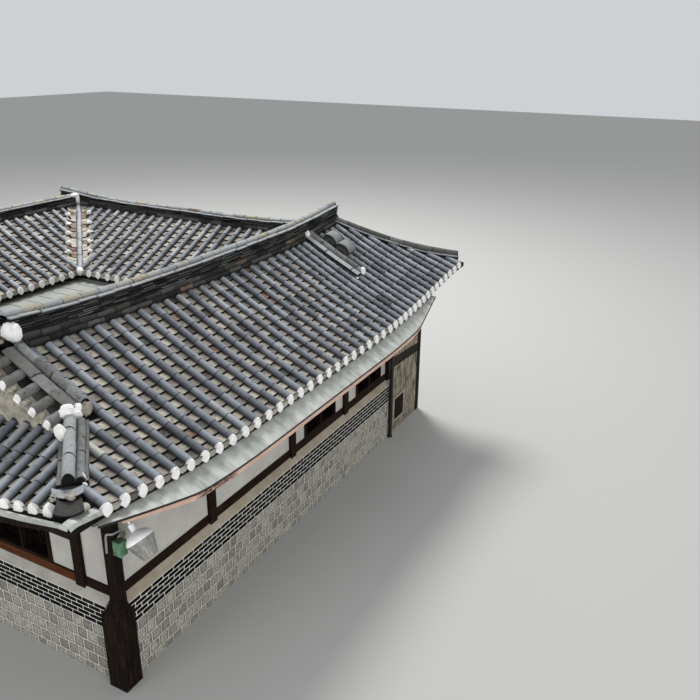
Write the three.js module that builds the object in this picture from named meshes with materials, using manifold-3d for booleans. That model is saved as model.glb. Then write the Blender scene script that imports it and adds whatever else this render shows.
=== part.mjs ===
// A courtyard hanok: three tiled wings round a small court, on stone and black brick walls.
// Millimetres, +Z up. The origin is on the ground at the front left corner, where the outer
// faces of the front wall and of the left wall meet. +X runs along the front wall, +Y into the house.
import * as THREE from "three";
import { mergeVertices } from "three/addons/utils/BufferGeometryUtils.js";
import Module from "manifold-3d";

const wasm = await Module();
wasm.setup();

// Plan
const HOUSE_LENGTH = 8770;
const HOUSE_DEPTH = 9850;
const FRONT_WING_DEPTH = 3240;
const RIGHT_WING_INNER_X = 6550;
const REAR_WING_FRONT_Y = 7200;
const END_BAY_X = 7560;

// Roof plan: eaves and ridges
const FRONT_EAVE_Y = -620;
const FRONT_RIDGE_Y = 1620;
const FRONT_COURT_EAVE_Y = 3860;
const LEFT_EAVE_X = -980;
const GABLE_X = 0;
const VERGE_X = -130;
const RIGHT_COURT_EAVE_X = 5920;
const RIGHT_RIDGE_X = 7860;
const RIGHT_EAVE_X = 9250;
const FRONT_RIDGE_END_X = 7950;
const REAR_COURT_EAVE_Y = 6570;
const REAR_RIDGE_Y = 8510;
const REAR_EAVE_Y = 10450;
const MAIN_RUN = FRONT_RIDGE_Y - FRONT_EAVE_Y;
const SIDE_RUN = RIGHT_RIDGE_X - RIGHT_COURT_EAVE_X;
const EAVE_BULGE = 80;
const BULGE_REACH = 1700;

// Roof heights
const EAVE_Z = 2860;
const ROOF_PITCH = 0.5;
const ROOF_SAG = 45;
const ROOF_THICKNESS = 80;

// How far the ridge lines rise from the middle of the front wing, and from the rear court eave
const RIDGE_MIDDLE_X = 4050;
const RIDGE_MIDDLE_REACH = 3850;
const FRONT_RIDGE_LIFT = 90;
const REAR_LIFT_REACH = 2500;
const REAR_RIDGE_LIFT = 60;

// Main ridges: ends, width and height, how deep each is bedded, and how its crest rises towards an end
const FRONT_RIDGE = { from: 330, to: 8030, width: 300, height: 425, bedded: 45, rise: 70, risesFrom: 4200 };
const RIGHT_RIDGE = { from: 1900, to: 9000, width: 280, height: 270, bedded: 40, rise: 110, risesFrom: 6600 };
const REAR_RIDGE = { from: 330, to: 7760, width: 280, height: 270, bedded: 40, rise: 60, risesFrom: 4100 };

// Lower ridges, and how far the corner hips start inside the gable and stop short of the eave corner
const CORNER_HIP = { width: 260, height: 180, rise: 40, start: 60, stop: 40 };
const RIGHT_HIP = { width: 250, height: 150, rise: 30 };
const DESCENDING_RIDGE = { x: 6900, foot: 380, width: 300, height: 170 };

// Half of a ridge's outline, as shares of its half width and of its height, over a root in the roof bed
const RIDGE_OUTLINE = [
  [1, 0.24],
  [0.74, 0.32],
  [0.66, 0.8],
  [0.4, 1],
];
const RIDGE_ROOT = 60;

// A verge across the gable end, from its outer edge to the foot of its roll, up from the roof bed
const VERGE_OUTLINE = [
  [VERGE_X, -75],
  [460, -60],
  [460, 60],
  [425, 75],
  [405, 170],
  [355, 195],
  [295, 195],
  [245, 170],
  [235, 80],
  [VERGE_X, 80],
];

// Gables: how far each stops short of the hips, laps the roof above and below, and its two faces
const GABLE_INSET = 150;
const GABLE_LAP = 60;
const GABLE_FACES = [GABLE_X - 60, GABLE_X - 5];

// Gaps that touching pieces keep
const SEAM = 0.3;
const SEAT_GAP = 0.4;

// Walls, as depths in from the outer face and heights above the ground
const MASONRY_THICKNESS = 300;
const INNER_FACE = MASONRY_THICKNESS + SEAT_GAP;
const BRICK_TOP_Z = 1130;
const LEDGE_TOP_Z = 1215;
const LEDGE_LIP = 10;
const FRAME_FACE = 95;
const FRAME_BACK = 115;
const PLASTER_BACK = 235;
const SILL_TOP_Z = 1350;
const PLATE_BOTTOM_Z = 2860;
const PLATE_TOP_Z = 3000;
const WALL_TOP_Z = 3600;
const POST_WIDTH = 150;
const POST_FACE = 70;
const WINDOW_TOP_Z = 2300;
const WINDOW_RIM = 45;
const SASH_DEPTHS = [FRAME_FACE + 15, FRAME_FACE + 60];
const PANE_DEPTHS = [PLASTER_BACK + SEAT_GAP, PLASTER_BACK + 8];
const FRAME_DEPTHS = [FRAME_BACK - 25, PLASTER_BACK - 10];
const COURT_WALL_THICKNESS = 150;
const DOOR_WIDTH = 900;
const DOOR_TOP_Z = 2250;
const WING_DOOR_X = 3900;
const RIGHT_DOOR_Y = 4770;
const FLOOR_Z = 450;
const FLOOR_THICKNESS = 60;

// How far a cut runs past what it cuts
const CUT = 50;

// Posts and windows along each side
const FRONT_POSTS = [1940, 4010, 5785, 7530];
const LEFT_POSTS = [667, 2525, FRONT_WING_DEPTH - POST_WIDTH / 2];
const FRONT_WINDOWS = [
  [4400, 5420],
  [6210, 7220],
];
const LEFT_WINDOW = [1150, 2190];
const RIGHT_WINDOW = [4400, 5400];
const REAR_WINDOW = [3900, 4900];

// Down pipe at the end of the masonry, and the low framed hatch beside it
const PIPE_X = 7415;
const PIPE_RADIUS = 37.5;
const PIPE_TOP_Z = 3000;
const PIPE_FOOT_RADIUS = 50;
const PIPE_FOOT_Z = 45;
const PIPE_COLLAR_Z = 65;
const HATCH_SPAN = [7600, 8130];
const HATCH_HEIGHTS = [215, 775];
const HATCH_THICKNESS = 30;
const HATCH_RIM = 45;
const HATCH_RECESS = 14;

// Eave trim
const APRON_START_X = -790;
const APRON_END_X = 7850;
const APRON_INNER_Y = -470;
const APRON_OVERHANG = 260;
const APRON_END_OVERHANG = 90;
const APRON_DROP = 205;
const APRON_END_DROP = ROOF_THICKNESS + 12;
const APRON_FOLD_LEFT_X = 600;
const APRON_FOLD_RIGHT_X = 6700;
const APRON_THICKNESS = 4;
const APRON_CLEARANCE = 3;
const FASCIA_INSET = 12;
const FASCIA_HEIGHT = 100;
const FASCIA_THICKNESS = 25;
const LEFT_FASCIA_INSET = 30;
const LEFT_FASCIA_STOP = 80;
const LEFT_FASCIA_DROP = ROOF_THICKNESS + 6;
const COURT_SHEET_Z = 2690;
const COURT_SHEET_THICKNESS = 12;
const COURT_OPEN_X = -300;

// Lamp under the eave by the corner post: the centre of its rim, and how far it leans out
const LAMP_RIM = [165, -328, 2172];
const LAMP_LEAN = -39.4;
const DOME_RADIUS = 170;
const DOME_HEIGHT = 115;
const DOME_THICKNESS = 4;
const NECK_RADIUS = 35;
const NECK_LENGTH = 90;
const LENS_TOP_RADIUS = 168;
const LENS_FOOT_RADIUS = 92;
const LENS_DEPTH = 225;
const LENS_THICKNESS = 5;
const BRACKET_RADIUS = 14;
const BRACKET_Z = 2440;
const BOX_SPAN = [2, 112];
const BOX_HEIGHTS = [1965, 2155];
const BOX_DEPTH = 115;

// Corner post: how far its casing stands out of the two wall faces and in from them, and the
// slimmer post that rises out of it
const CASING_OUT = 90;
const CASING_IN = 185;
const CASING_TOP_Z = BRICK_TOP_Z - 40;
const CORNER_POST_X = [0, 120];
const CORNER_POST_Y = [-55, 105];

// Far post, which stands against the end of the stone wall
const FAR_POST_WIDTH = 150;
const FAR_POST_Y = -10;

// Where the roof lifts: how high, and how far from the corner the lift begins
const CORNERS = [
  { x: LEFT_EAVE_X, y: FRONT_EAVE_Y, lift: 355, reach: 2970 },
  { x: RIGHT_EAVE_X, y: FRONT_EAVE_Y, lift: 490, reach: 3950 },
  { x: LEFT_EAVE_X, y: FRONT_COURT_EAVE_Y, lift: 250, reach: 1600 },
  { x: LEFT_EAVE_X, y: REAR_COURT_EAVE_Y, lift: 250, reach: 1600 },
  { x: LEFT_EAVE_X, y: REAR_EAVE_Y, lift: 300, reach: 2400 },
  { x: RIGHT_EAVE_X, y: REAR_EAVE_Y, lift: 350, reach: 2800 },
];

const COLOURS = {
  tile: 0x55585e,
  ridge: 0x57544d,
  plaster: 0xb8b5ae,
  timber: 0x3a1f14,
  masonry: 0x8e8a80,
  roughStone: 0xa59b88,
  metal: 0xa9b2af,
  fascia: 0xc9a692,
  glass: 0x1a2022,
  sheet: 0xc4c6c0,
  silver: 0xc8ccd0,
  box: 0x6f8f7c,
  lens: 0x9a9a96,
  pipe: 0x161514,
};

const house = new THREE.Group();

function finish(colour, roughness = 0.85, metalness = 0) {
  return new THREE.MeshStandardMaterial({ color: colour, roughness, metalness });
}

// The closed solid of a geometry, with its shared corners merged.
function solidFrom(geometry) {
  const bare = geometry.index ? geometry.toNonIndexed() : geometry.clone();
  bare.deleteAttribute("normal");
  bare.deleteAttribute("uv");
  const merged = mergeVertices(bare, 1e-3);
  const solid = new wasm.Manifold(
    new wasm.Mesh({
      numProp: 3,
      vertProperties: new Float32Array(merged.attributes.position.array),
      triVerts: new Uint32Array(merged.index.array),
    }),
  );
  return solid;
}

function geometryFrom(solid) {
  const mesh = solid.getMesh();
  const geometry = new THREE.BufferGeometry();
  geometry.setAttribute("position", new THREE.BufferAttribute(mesh.vertProperties, 3));
  geometry.setIndex(new THREE.BufferAttribute(mesh.triVerts, 1));
  return geometry;
}

function addNode(name, solid, colour, roughness, metalness) {
  const geometry = geometryFrom(solid);
  geometry.computeVertexNormals();
  const mesh = new THREE.Mesh(geometry, finish(colour, roughness, metalness));
  mesh.name = name;
  house.add(mesh);
}

// A box between two opposite corners.
function block(low, high) {
  const size = high.map((v, i) => v - low[i]);
  const geometry = new THREE.BoxGeometry(size[0], size[1], size[2]);
  geometry.translate(low[0] + size[0] / 2, low[1] + size[1] / 2, low[2] + size[2] / 2);
  return solidFrom(geometry);
}

// A solid through rings of points, each ring closed. The flat outline of a ring closes both ends.
function loft(rings, outline) {
  const count = outline.length;
  const positions = rings.flat(2);
  const index = [];
  for (let i = 0; i < rings.length - 1; i++) {
    for (let j = 0; j < count; j++) {
      const a = i * count + j;
      const b = i * count + ((j + 1) % count);
      index.push(a, b, a + count, b, b + count, a + count);
    }
  }
  const last = (rings.length - 1) * count;
  const flat = outline.map(([u, v]) => new THREE.Vector2(u, v));
  const turned = THREE.ShapeUtils.isClockWise(flat);
  for (const face of THREE.ShapeUtils.triangulateShape(flat, [])) {
    const [a, b, c] = turned ? face.toReversed() : face;
    index.push(a, c, b, last + a, last + b, last + c);
  }
  return solidFromIndexed(positions, index);
}

// The closed mesh turned so that its faces point out.
function solidFromIndexed(positions, index) {
  let volume = 0;
  const corner = (i) => new THREE.Vector3().fromArray(positions, index[i] * 3);
  for (let i = 0; i < index.length; i += 3) {
    volume += corner(i).dot(corner(i + 1).cross(corner(i + 2)));
  }
  if (volume < 0) {
    for (let i = 0; i < index.length; i += 3) {
      [index[i + 1], index[i + 2]] = [index[i + 2], index[i + 1]];
    }
  }
  const geometry = new THREE.BufferGeometry();
  geometry.setAttribute("position", new THREE.Float32BufferAttribute(positions, 3));
  geometry.setIndex(index);
  return solidFrom(geometry);
}

// A slab whose upper side is a grid of points, and whose lower side lies a thickness below.
function slab(rows, thickness) {
  const across = rows[0].length;
  const top = rows.flat();
  const positions = [...top.flat(), ...top.map(([x, y, z]) => [x, y, z - thickness]).flat()];
  const under = top.length;
  const index = [];
  const quad = (a, b, c, d) => index.push(a, b, c, a, c, d);
  for (let i = 0; i < rows.length - 1; i++) {
    for (let j = 0; j < across - 1; j++) {
      const a = i * across + j;
      quad(a, a + 1, a + 1 + across, a + across);
      quad(under + a, under + a + across, under + a + 1 + across, under + a + 1);
    }
  }
  const end = (rows.length - 1) * across;
  for (let j = 0; j < across - 1; j++) {
    quad(j + 1, j, under + j, under + j + 1);
    quad(end + j, end + j + 1, under + end + j + 1, under + end + j);
  }
  for (let i = 0; i < rows.length - 1; i++) {
    const a = i * across;
    const b = a + across - 1;
    quad(a, a + across, under + a + across, under + a);
    quad(b + across, b, under + b, under + b + across);
  }
  return solidFromIndexed(positions, index);
}

function steps(count) {
  return Array.from({ length: count + 1 }, (_, i) => i / count);
}

function mix(a, b, t) {
  return a + (b - a) * t;
}

// How far the roof is lifted near its outer corners.
function cornerLift(x, y) {
  return CORNERS.reduce((sum, c) => {
    const near = Math.max(0, 1 - Math.hypot(x - c.x, y - c.y) / c.reach);
    return sum + c.lift * near * near;
  }, 0);
}

// How far the ridge lines rise towards their ends.
function ridgeLift(x, y, share) {
  const along = Math.abs(x - RIDGE_MIDDLE_X) / RIDGE_MIDDLE_REACH;
  const back = Math.max(0, (y - REAR_COURT_EAVE_Y) / REAR_LIFT_REACH);
  const nearFront = Math.min(1, Math.max(0, (FRONT_COURT_EAVE_Y - y) / MAIN_RUN));
  const front = FRONT_RIDGE_LIFT * along ** 2.5 * nearFront;
  const rear = REAR_RIDGE_LIFT * back ** 2;
  return (front + rear) * share * share;
}

// Height of the tile bed at a distance in from the eave.
function roofHeight(x, y, fromEave) {
  const share = fromEave / MAIN_RUN;
  const sag = ROOF_SAG * 4 * share * (1 - share);
  return EAVE_Z + ROOF_PITCH * fromEave - sag + cornerLift(x, y) + ridgeLift(x, y, share);
}

// How far an eave swings out towards the corners at its two ends.
function bulge(along, start, end) {
  const nearest = Math.min(Math.abs(along - start), Math.abs(along - end));
  return EAVE_BULGE * Math.max(0, 1 - nearest / BULGE_REACH) ** 2;
}

const frontZ = (x, y) => roofHeight(x, y, y - FRONT_EAVE_Y);
const frontCourtZ = (x, y) => roofHeight(x, y, FRONT_COURT_EAVE_Y - y);
const leftZ = (x, y) => roofHeight(x, y, x - LEFT_EAVE_X);
const rightCourtZ = (x, y) => roofHeight(x, y, x - RIGHT_COURT_EAVE_X);
const rearCourtZ = (x, y) => roofHeight(x, y, y - REAR_COURT_EAVE_Y);
const rearZ = (x, y) => roofHeight(x, y, REAR_EAVE_Y - y);

// A sloping roof side. At each share of the way up, ends(v) gives the two end points in plan.
function roofSide(ups, across, ends, heightAt, bow) {
  return ups.map((v) => {
    const [a, b] = ends(v);
    return across.map((u) => {
      const x = mix(a[0], b[0], u);
      const y = mix(a[1], b[1], u);
      const [bx, by] = u > 0 && u < 1 ? bow(x, y, v, u) : [x, y];
      return [bx, by, heightAt(bx, by, v, u)];
    });
  });
}

// Shares of the way up a slope, with one at the head of the left hip. Slopes that meet share them.
const SKIRT_RUN = GABLE_X - LEFT_EAVE_X;
const skirtUps = [0, 0.5, 1];
const sideUps = [0, 0.5 * (SKIRT_RUN / SIDE_RUN), SKIRT_RUN / SIDE_RUN, 0.6, 0.7, 0.8, 0.9, 1];
const mainUps = [0, 0.5 * (SKIRT_RUN / MAIN_RUN), SKIRT_RUN / MAIN_RUN, 0.55, 0.67, 0.79, 0.9, 1];
const frontCourtUps = [...sideUps.map((v) => (v * SIDE_RUN) / MAIN_RUN), 1];
const VALLEY_SHARE = SIDE_RUN / MAIN_RUN;

// Left end of a row on a slope that runs parallel to X: along the hip, then up the gable.
function leftEnd(v, run, eaveY, inward, seam) {
  const t = Math.min(1, (v * run) / SKIRT_RUN);
  const x = mix(LEFT_EAVE_X - EAVE_BULGE, GABLE_X, t);
  const hipY = eaveY + inward * (x - LEFT_EAVE_X);
  const y = t < 1 ? hipY + inward * seam : eaveY + inward * run * v;
  return [x + seam, y];
}

function frontHip(v) {
  return [
    mix(RIGHT_EAVE_X + EAVE_BULGE, FRONT_RIDGE_END_X, v),
    mix(FRONT_EAVE_Y - EAVE_BULGE, FRONT_RIDGE_Y, v),
  ];
}

function rearHip(v) {
  return [
    mix(RIGHT_EAVE_X + EAVE_BULGE, RIGHT_RIDGE_X, v),
    mix(REAR_EAVE_Y + EAVE_BULGE, REAR_RIDGE_Y, v),
  ];
}

function frontSlope(seam) {
  const ends = (v) => {
    const [x, y] = frontHip(v);
    return [leftEnd(v, MAIN_RUN, FRONT_EAVE_Y, 1, seam), [x - 2 * seam, y]];
  };
  const bow = (x, y, v) => {
    const eave = FRONT_EAVE_Y - bulge(x, LEFT_EAVE_X, RIGHT_EAVE_X);
    return [x, mix(eave, FRONT_RIDGE_Y, v)];
  };
  return roofSide(mainUps, steps(24), ends, frontZ, bow);
}

function frontCourtSlope(seam) {
  const ends = (v) => {
    const past = Math.max(0, (v - VALLEY_SHARE) / (1 - VALLEY_SHARE));
    const valleyX = Math.min(RIGHT_RIDGE_X, RIGHT_COURT_EAVE_X + MAIN_RUN * v);
    const x = mix(valleyX, FRONT_RIDGE_END_X, past);
    const y = FRONT_COURT_EAVE_Y - MAIN_RUN * v;
    return [leftEnd(v, MAIN_RUN, FRONT_COURT_EAVE_Y, -1, seam), [x - 2 * seam, y]];
  };
  const bow = (x, y, v) => {
    const eave = FRONT_COURT_EAVE_Y + bulge(x, LEFT_EAVE_X, LEFT_EAVE_X);
    return [x, mix(eave, FRONT_RIDGE_Y, v)];
  };
  return roofSide(frontCourtUps, steps(24), ends, frontCourtZ, bow);
}

// The low slope under a gable, between two hips.
function leftSkirt(lowY, highY, seam) {
  const ends = (v) => {
    const x = mix(LEFT_EAVE_X - EAVE_BULGE, GABLE_X, v) - seam;
    const inset = x - LEFT_EAVE_X + seam * 2;
    return [
      [x, lowY + inset],
      [x, highY - inset],
    ];
  };
  const bow = (x, y, v) => {
    const eave = LEFT_EAVE_X - bulge(y, lowY, highY);
    return [mix(eave, GABLE_X - seam, v), y];
  };
  return roofSide(skirtUps, steps(12), ends, leftZ, bow);
}

const rightWingSteps = steps(12);

function rightCourtSlope(seam) {
  const ends = (v) => {
    const x = RIGHT_COURT_EAVE_X + (SIDE_RUN - 2 * seam) * v;
    const inset = x - RIGHT_COURT_EAVE_X - seam;
    return [
      [x, FRONT_COURT_EAVE_Y - inset],
      [x, REAR_COURT_EAVE_Y + inset],
    ];
  };
  const asIs = (x, y) => [x, y];
  return roofSide(sideUps, rightWingSteps, ends, rightCourtZ, asIs);
}

// The outer slope of the right wing, steeper than the rest, with a hip at each end.
function rightOuterSlope() {
  const run = RIGHT_EAVE_X - RIGHT_RIDGE_X;
  const headY = FRONT_COURT_EAVE_Y - SIDE_RUN;
  const first = (headY - FRONT_RIDGE_Y) / (REAR_RIDGE_Y - FRONT_RIDGE_Y);
  const across = [0, ...rightWingSteps.map((t) => mix(first, 1, t))];
  const plainZ = (x, y) => roofHeight(x, y, ((RIGHT_EAVE_X - x) * SIDE_RUN) / run);
  return mainUps.map((frontUp, row) => {
    const rearUp = sideUps[row];
    const [x0, y0] = frontHip(frontUp);
    const [x1, y1] = rearHip(rearUp);
    return across.map((u) => {
      if (u === 0) return [x0, y0, frontZ(x0, y0)];
      if (u === 1) return [x1, y1, plainZ(x1, y1)];
      const y = mix(y0, y1, u);
      const eave = RIGHT_EAVE_X + bulge(y, FRONT_EAVE_Y, REAR_EAVE_Y);
      const x = mix(eave, RIGHT_RIDGE_X, mix(frontUp, rearUp, u));
      return [x, y, plainZ(x, y)];
    });
  });
}

function rearCourtSlope(seam) {
  const ends = (v) => {
    const end = [RIGHT_COURT_EAVE_X + SIDE_RUN * v - seam, REAR_COURT_EAVE_Y + SIDE_RUN * v];
    return [leftEnd(v, SIDE_RUN, REAR_COURT_EAVE_Y, 1, seam), end];
  };
  const bow = (x, y, v) => {
    const eave = REAR_COURT_EAVE_Y - bulge(x, LEFT_EAVE_X, LEFT_EAVE_X);
    return [x, mix(eave, REAR_RIDGE_Y, v)];
  };
  return roofSide(sideUps, steps(22), ends, rearCourtZ, bow);
}

function rearSlope(seam) {
  const ends = (v) => {
    const [x, y] = rearHip(v);
    return [leftEnd(v, SIDE_RUN, REAR_EAVE_Y, -1, seam), [x - 2 * seam, y]];
  };
  const bow = (x, y, v) => {
    const eave = REAR_EAVE_Y + bulge(x, LEFT_EAVE_X, RIGHT_EAVE_X);
    return [x, mix(eave, REAR_RIDGE_Y, v)];
  };
  return roofSide(sideUps, steps(22), ends, rearZ, bow);
}

// The eight slopes, each drawn back by a seam from the slopes beside it.
function roofSlopes(seam) {
  return {
    roof_front_slope: frontSlope(seam),
    roof_front_wing_court_slope: frontCourtSlope(seam),
    roof_front_wing_left_hip: leftSkirt(FRONT_EAVE_Y, FRONT_COURT_EAVE_Y, seam),
    roof_right_wing_court_slope: rightCourtSlope(seam),
    roof_right_wing_outer_slope: rightOuterSlope(),
    roof_rear_wing_court_slope: rearCourtSlope(seam),
    roof_rear_wing_back_slope: rearSlope(seam),
    roof_rear_wing_left_hip: leftSkirt(REAR_COURT_EAVE_Y, REAR_EAVE_Y, seam),
  };
}

for (const [name, rows] of Object.entries(roofSlopes(SEAM))) {
  addNode(name, slab(rows, ROOF_THICKNESS), COLOURS.tile, 0.8);
}

function joined(solids) {
  return solids.reduce((all, s) => all.add(s));
}

// The body with the largest volume, when a trim has left crumbs.
function largest(solid) {
  return solid.decompose().reduce((a, b) => (a.volume() > b.volume() ? a : b));
}

// The room that the roof needs: the slopes run a little into each other, with some more above and below.
function roofRoomWith(rise, drop) {
  const raised = (rows) => rows.map((row) => row.map(([x, y, z]) => [x, y, z + rise]));
  const room = (rows) => slab(raised(rows), ROOF_THICKNESS + rise + drop);
  const slabs = Object.values(roofSlopes(SEAM)).map((rows) => slab(rows, ROOF_THICKNESS));
  return joined([...Object.values(roofSlopes(-SEAM / 3)).map(room), ...slabs]);
}

const roofRoom = roofRoomWith(SEAT_GAP, SEAT_GAP);
const roofAndAbove = roofRoomWith(WALL_TOP_Z - EAVE_Z, 2 * SEAT_GAP);

// A tile ridge along a path, narrower towards the top, and grown on every side by a margin.
function ridgeAlong(path, width, height, margin = 0) {
  const outlineAt = (rise) => {
    const half = width / 2;
    const top = height + rise;
    const right = [
      [half + margin, -RIDGE_ROOT - margin],
      ...RIDGE_OUTLINE.map(([side, up]) => [half * side + margin, top * up + margin]),
    ];
    const left = right.toReversed().map(([side, up]) => [-side, up]);
    return [...right, ...left];
  };
  const rings = path.map(([x, y, z, rise = 0], i) => {
    const before = path[Math.max(0, i - 1)];
    const after = path[Math.min(path.length - 1, i + 1)];
    const dir = new THREE.Vector2(after[0] - before[0], after[1] - before[1]).normalize();
    const onward = i === 0 ? -margin : i === path.length - 1 ? margin : 0;
    const [cx, cy] = [x + dir.x * onward, y + dir.y * onward];
    return outlineAt(rise).map(([side, up]) => [cx - dir.y * side, cy + dir.x * side, z + up]);
  });
  return loft(rings, outlineAt(0));
}

// Ridges are added from the front wing round to the rear wing. Each later one stops at those before.
const ridgeRooms = [];

function addRidge(name, makeBodies) {
  const trimmed = ridgeRooms.reduce(
    (rest, room) => rest.subtract(room),
    joined(makeBodies(0)).subtract(roofRoom),
  );
  addNode(name, largest(trimmed), COLOURS.ridge, 0.85);
  ridgeRooms.push(...makeBodies(SEAT_GAP));
}

// How much a crest rises at a place between the start of its rise and one end of the ridge.
function crestRise(ridge, place, end, power) {
  const share = (place - ridge.risesFrom) / (end - ridge.risesFrom);
  return ridge.rise * Math.max(0, share) ** power;
}

function mainRidge(name, ridge, count, pointAt) {
  const path = steps(count).map((t) => pointAt(mix(ridge.from, ridge.to, t)));
  addRidge(name, (margin) => [ridgeAlong(path, ridge.width, ridge.height, margin)]);
}

function mainRidges() {
  mainRidge("main_ridge_front", FRONT_RIDGE, 22, (x) => {
    const bed = frontZ(Math.min(x, FRONT_RIDGE_END_X), FRONT_RIDGE_Y);
    return [x, FRONT_RIDGE_Y, bed - FRONT_RIDGE.bedded, crestRise(FRONT_RIDGE, x, FRONT_RIDGE.from, 3)];
  });
  mainRidge("main_ridge_right", RIGHT_RIDGE, 16, (y) => {
    const bed = rightCourtZ(RIGHT_RIDGE_X, Math.min(y, REAR_RIDGE_Y));
    return [RIGHT_RIDGE_X, y, bed - RIGHT_RIDGE.bedded, crestRise(RIGHT_RIDGE, y, RIGHT_RIDGE.to, 2)];
  });
  mainRidge("main_ridge_rear", REAR_RIDGE, 14, (x) => {
    const bed = rearZ(x, REAR_RIDGE_Y);
    return [x, REAR_RIDGE_Y, bed - REAR_RIDGE.bedded, crestRise(REAR_RIDGE, x, REAR_RIDGE.from, 3)];
  });
}

// The verge over a gable end and the hip ridge that runs on from it to the corner of the eaves.
function cornerRidge(name, run, eaveY, inward) {
  const ridgeY = eaveY + inward * run;
  const bedAt = (x, y) => roofHeight(x, y, (y - eaveY) * inward);
  const vergeFoot = eaveY + inward * (GABLE_X - LEFT_EAVE_X + 20);
  const rings = steps(6).map((t) => {
    const y = mix(ridgeY - inward * SEAM, vergeFoot, t);
    return VERGE_OUTLINE.map(([x, up]) => [x, y, bedAt(Math.max(x, GABLE_X), y) + up]);
  });
  const verge = (margin) => loft(rings, VERGE_OUTLINE).translate([0, 0, -margin]);
  const hip = steps(6).map((t) => {
    const x = mix(GABLE_X + CORNER_HIP.start, LEFT_EAVE_X + CORNER_HIP.stop, t);
    const y = eaveY + inward * (x - LEFT_EAVE_X);
    return [x, y, bedAt(x, y), CORNER_HIP.rise * t];
  });
  addRidge(name, (margin) => [
    verge(margin),
    ridgeAlong(hip, CORNER_HIP.width, CORNER_HIP.height, margin),
  ]);
}

function hipRidge(name, from, to, heightAt) {
  const path = steps(10).map((t) => {
    const x = mix(from[0], to[0], t);
    const y = mix(from[1], to[1], t);
    return [x, y, heightAt(x, y), RIGHT_HIP.rise * t];
  });
  addRidge(name, (margin) => [ridgeAlong(path, RIGHT_HIP.width, RIGHT_HIP.height, margin)]);
}

mainRidges();
cornerRidge("corner_ridge_front_left", MAIN_RUN, FRONT_EAVE_Y, 1);
cornerRidge("corner_ridge_front_wing_court", MAIN_RUN, FRONT_COURT_EAVE_Y, -1);
cornerRidge("corner_ridge_rear_wing_court", SIDE_RUN, REAR_COURT_EAVE_Y, 1);
cornerRidge("corner_ridge_rear_left", SIDE_RUN, REAR_EAVE_Y, -1);
hipRidge(
  "hip_ridge_front_right",
  [FRONT_RIDGE_END_X + 30, FRONT_RIDGE_Y - 60],
  [RIGHT_EAVE_X - 10, FRONT_EAVE_Y + 30],
  frontZ,
);
hipRidge(
  "hip_ridge_rear_right",
  [RIGHT_RIDGE_X, REAR_RIDGE_Y],
  [RIGHT_EAVE_X - 10, REAR_EAVE_Y - 20],
  rearZ,
);
const descending = steps(5).map((t) => {
  const y = mix(FRONT_RIDGE_Y, DESCENDING_RIDGE.foot, t);
  return [DESCENDING_RIDGE.x, y, frontZ(DESCENDING_RIDGE.x, y)];
});
addRidge("descending_ridge_right", (margin) => [
  ridgeAlong(descending, DESCENDING_RIDGE.width, DESCENDING_RIDGE.height, margin),
]);

// The upright gable between the verge and the hip slope below it.
function gable(name, run, eaveY) {
  const ridgeY = eaveY + run;
  const half = run - SKIRT_RUN - GABLE_INSET;
  const foot = (y) => leftZ(GABLE_X, y) - GABLE_LAP;
  const head = (y) => roofHeight(GABLE_X, y, run - Math.abs(y - ridgeY)) + GABLE_LAP;
  const ys = steps(12).map((t) => mix(ridgeY - half, ridgeY + half, t));
  const outline = [...ys.map((y) => [y, foot(y)]), ...ys.toReversed().map((y) => [y, head(y)])];
  const rings = GABLE_FACES.map((x) => outline.map(([y, z]) => [x, y, z]));
  const panel = loft(rings, outline).subtract(roofRoom);
  const clear = ridgeRooms.reduce((rest, room) => rest.subtract(room), panel);
  addNode(name, largest(clear), COLOURS.plaster, 0.9);
}

gable("gable_front_wing", MAIN_RUN, FRONT_EAVE_Y);
gable("gable_rear_wing", SIDE_RUN, REAR_COURT_EAVE_Y);

// The four outer sides of the plan: which way each runs, where its outer face lies, which way is in.
const SIDES = {
  front: { alongX: true, face: 0, inward: 1 },
  rear: { alongX: true, face: HOUSE_DEPTH, inward: -1 },
  left: { alongX: false, face: 0, inward: 1 },
  right: { alongX: false, face: HOUSE_LENGTH, inward: -1 },
};

// An outline of depths and heights, run along a side of the house.
function sidePrism(side, from, to, outline) {
  const place = (along, depth, z) => {
    const across = side.face + side.inward * depth;
    return side.alongX ? [along, across, z] : [across, along, z];
  };
  const rings = [from, to].map((along) => outline.map(([depth, z]) => place(along, depth, z)));
  return loft(rings, outline);
}

function sideBlock(side, from, to, depths, heights) {
  const [outer, inner] = depths;
  const [bottom, top] = heights;
  return sidePrism(side, from, to, [
    [outer, bottom],
    [inner, bottom],
    [inner, top],
    [outer, top],
  ]);
}

const LEDGE = [
  [0, BRICK_TOP_Z + SEAT_GAP],
  [MASONRY_THICKNESS, BRICK_TOP_Z + SEAT_GAP],
  [MASONRY_THICKNESS, LEDGE_TOP_Z],
  [FRAME_FACE, LEDGE_TOP_Z],
  [0, BRICK_TOP_Z + LEDGE_LIP],
];

const MASONRY_WITH_LEDGE = [
  [0, 0],
  [MASONRY_THICKNESS, 0],
  [MASONRY_THICKNESS, LEDGE_TOP_Z],
  [FRAME_FACE, LEDGE_TOP_Z],
  [0, BRICK_TOP_Z + LEDGE_LIP],
];

// The slope of the ledge, which the posts' feet follow.
const footZ = (depth) => mix(BRICK_TOP_Z + LEDGE_LIP, LEDGE_TOP_Z, depth / FRAME_FACE) + SEAT_GAP;

// A post stands out in front of the beams, and its foot hangs down over the ledge.
const POST_OUTLINE = [
  [POST_FACE, footZ(POST_FACE)],
  [FRAME_FACE, footZ(FRAME_FACE)],
  [FRAME_BACK, footZ(FRAME_FACE)],
  [FRAME_BACK, PLATE_TOP_Z],
  [POST_FACE, PLATE_TOP_Z],
];

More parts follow.
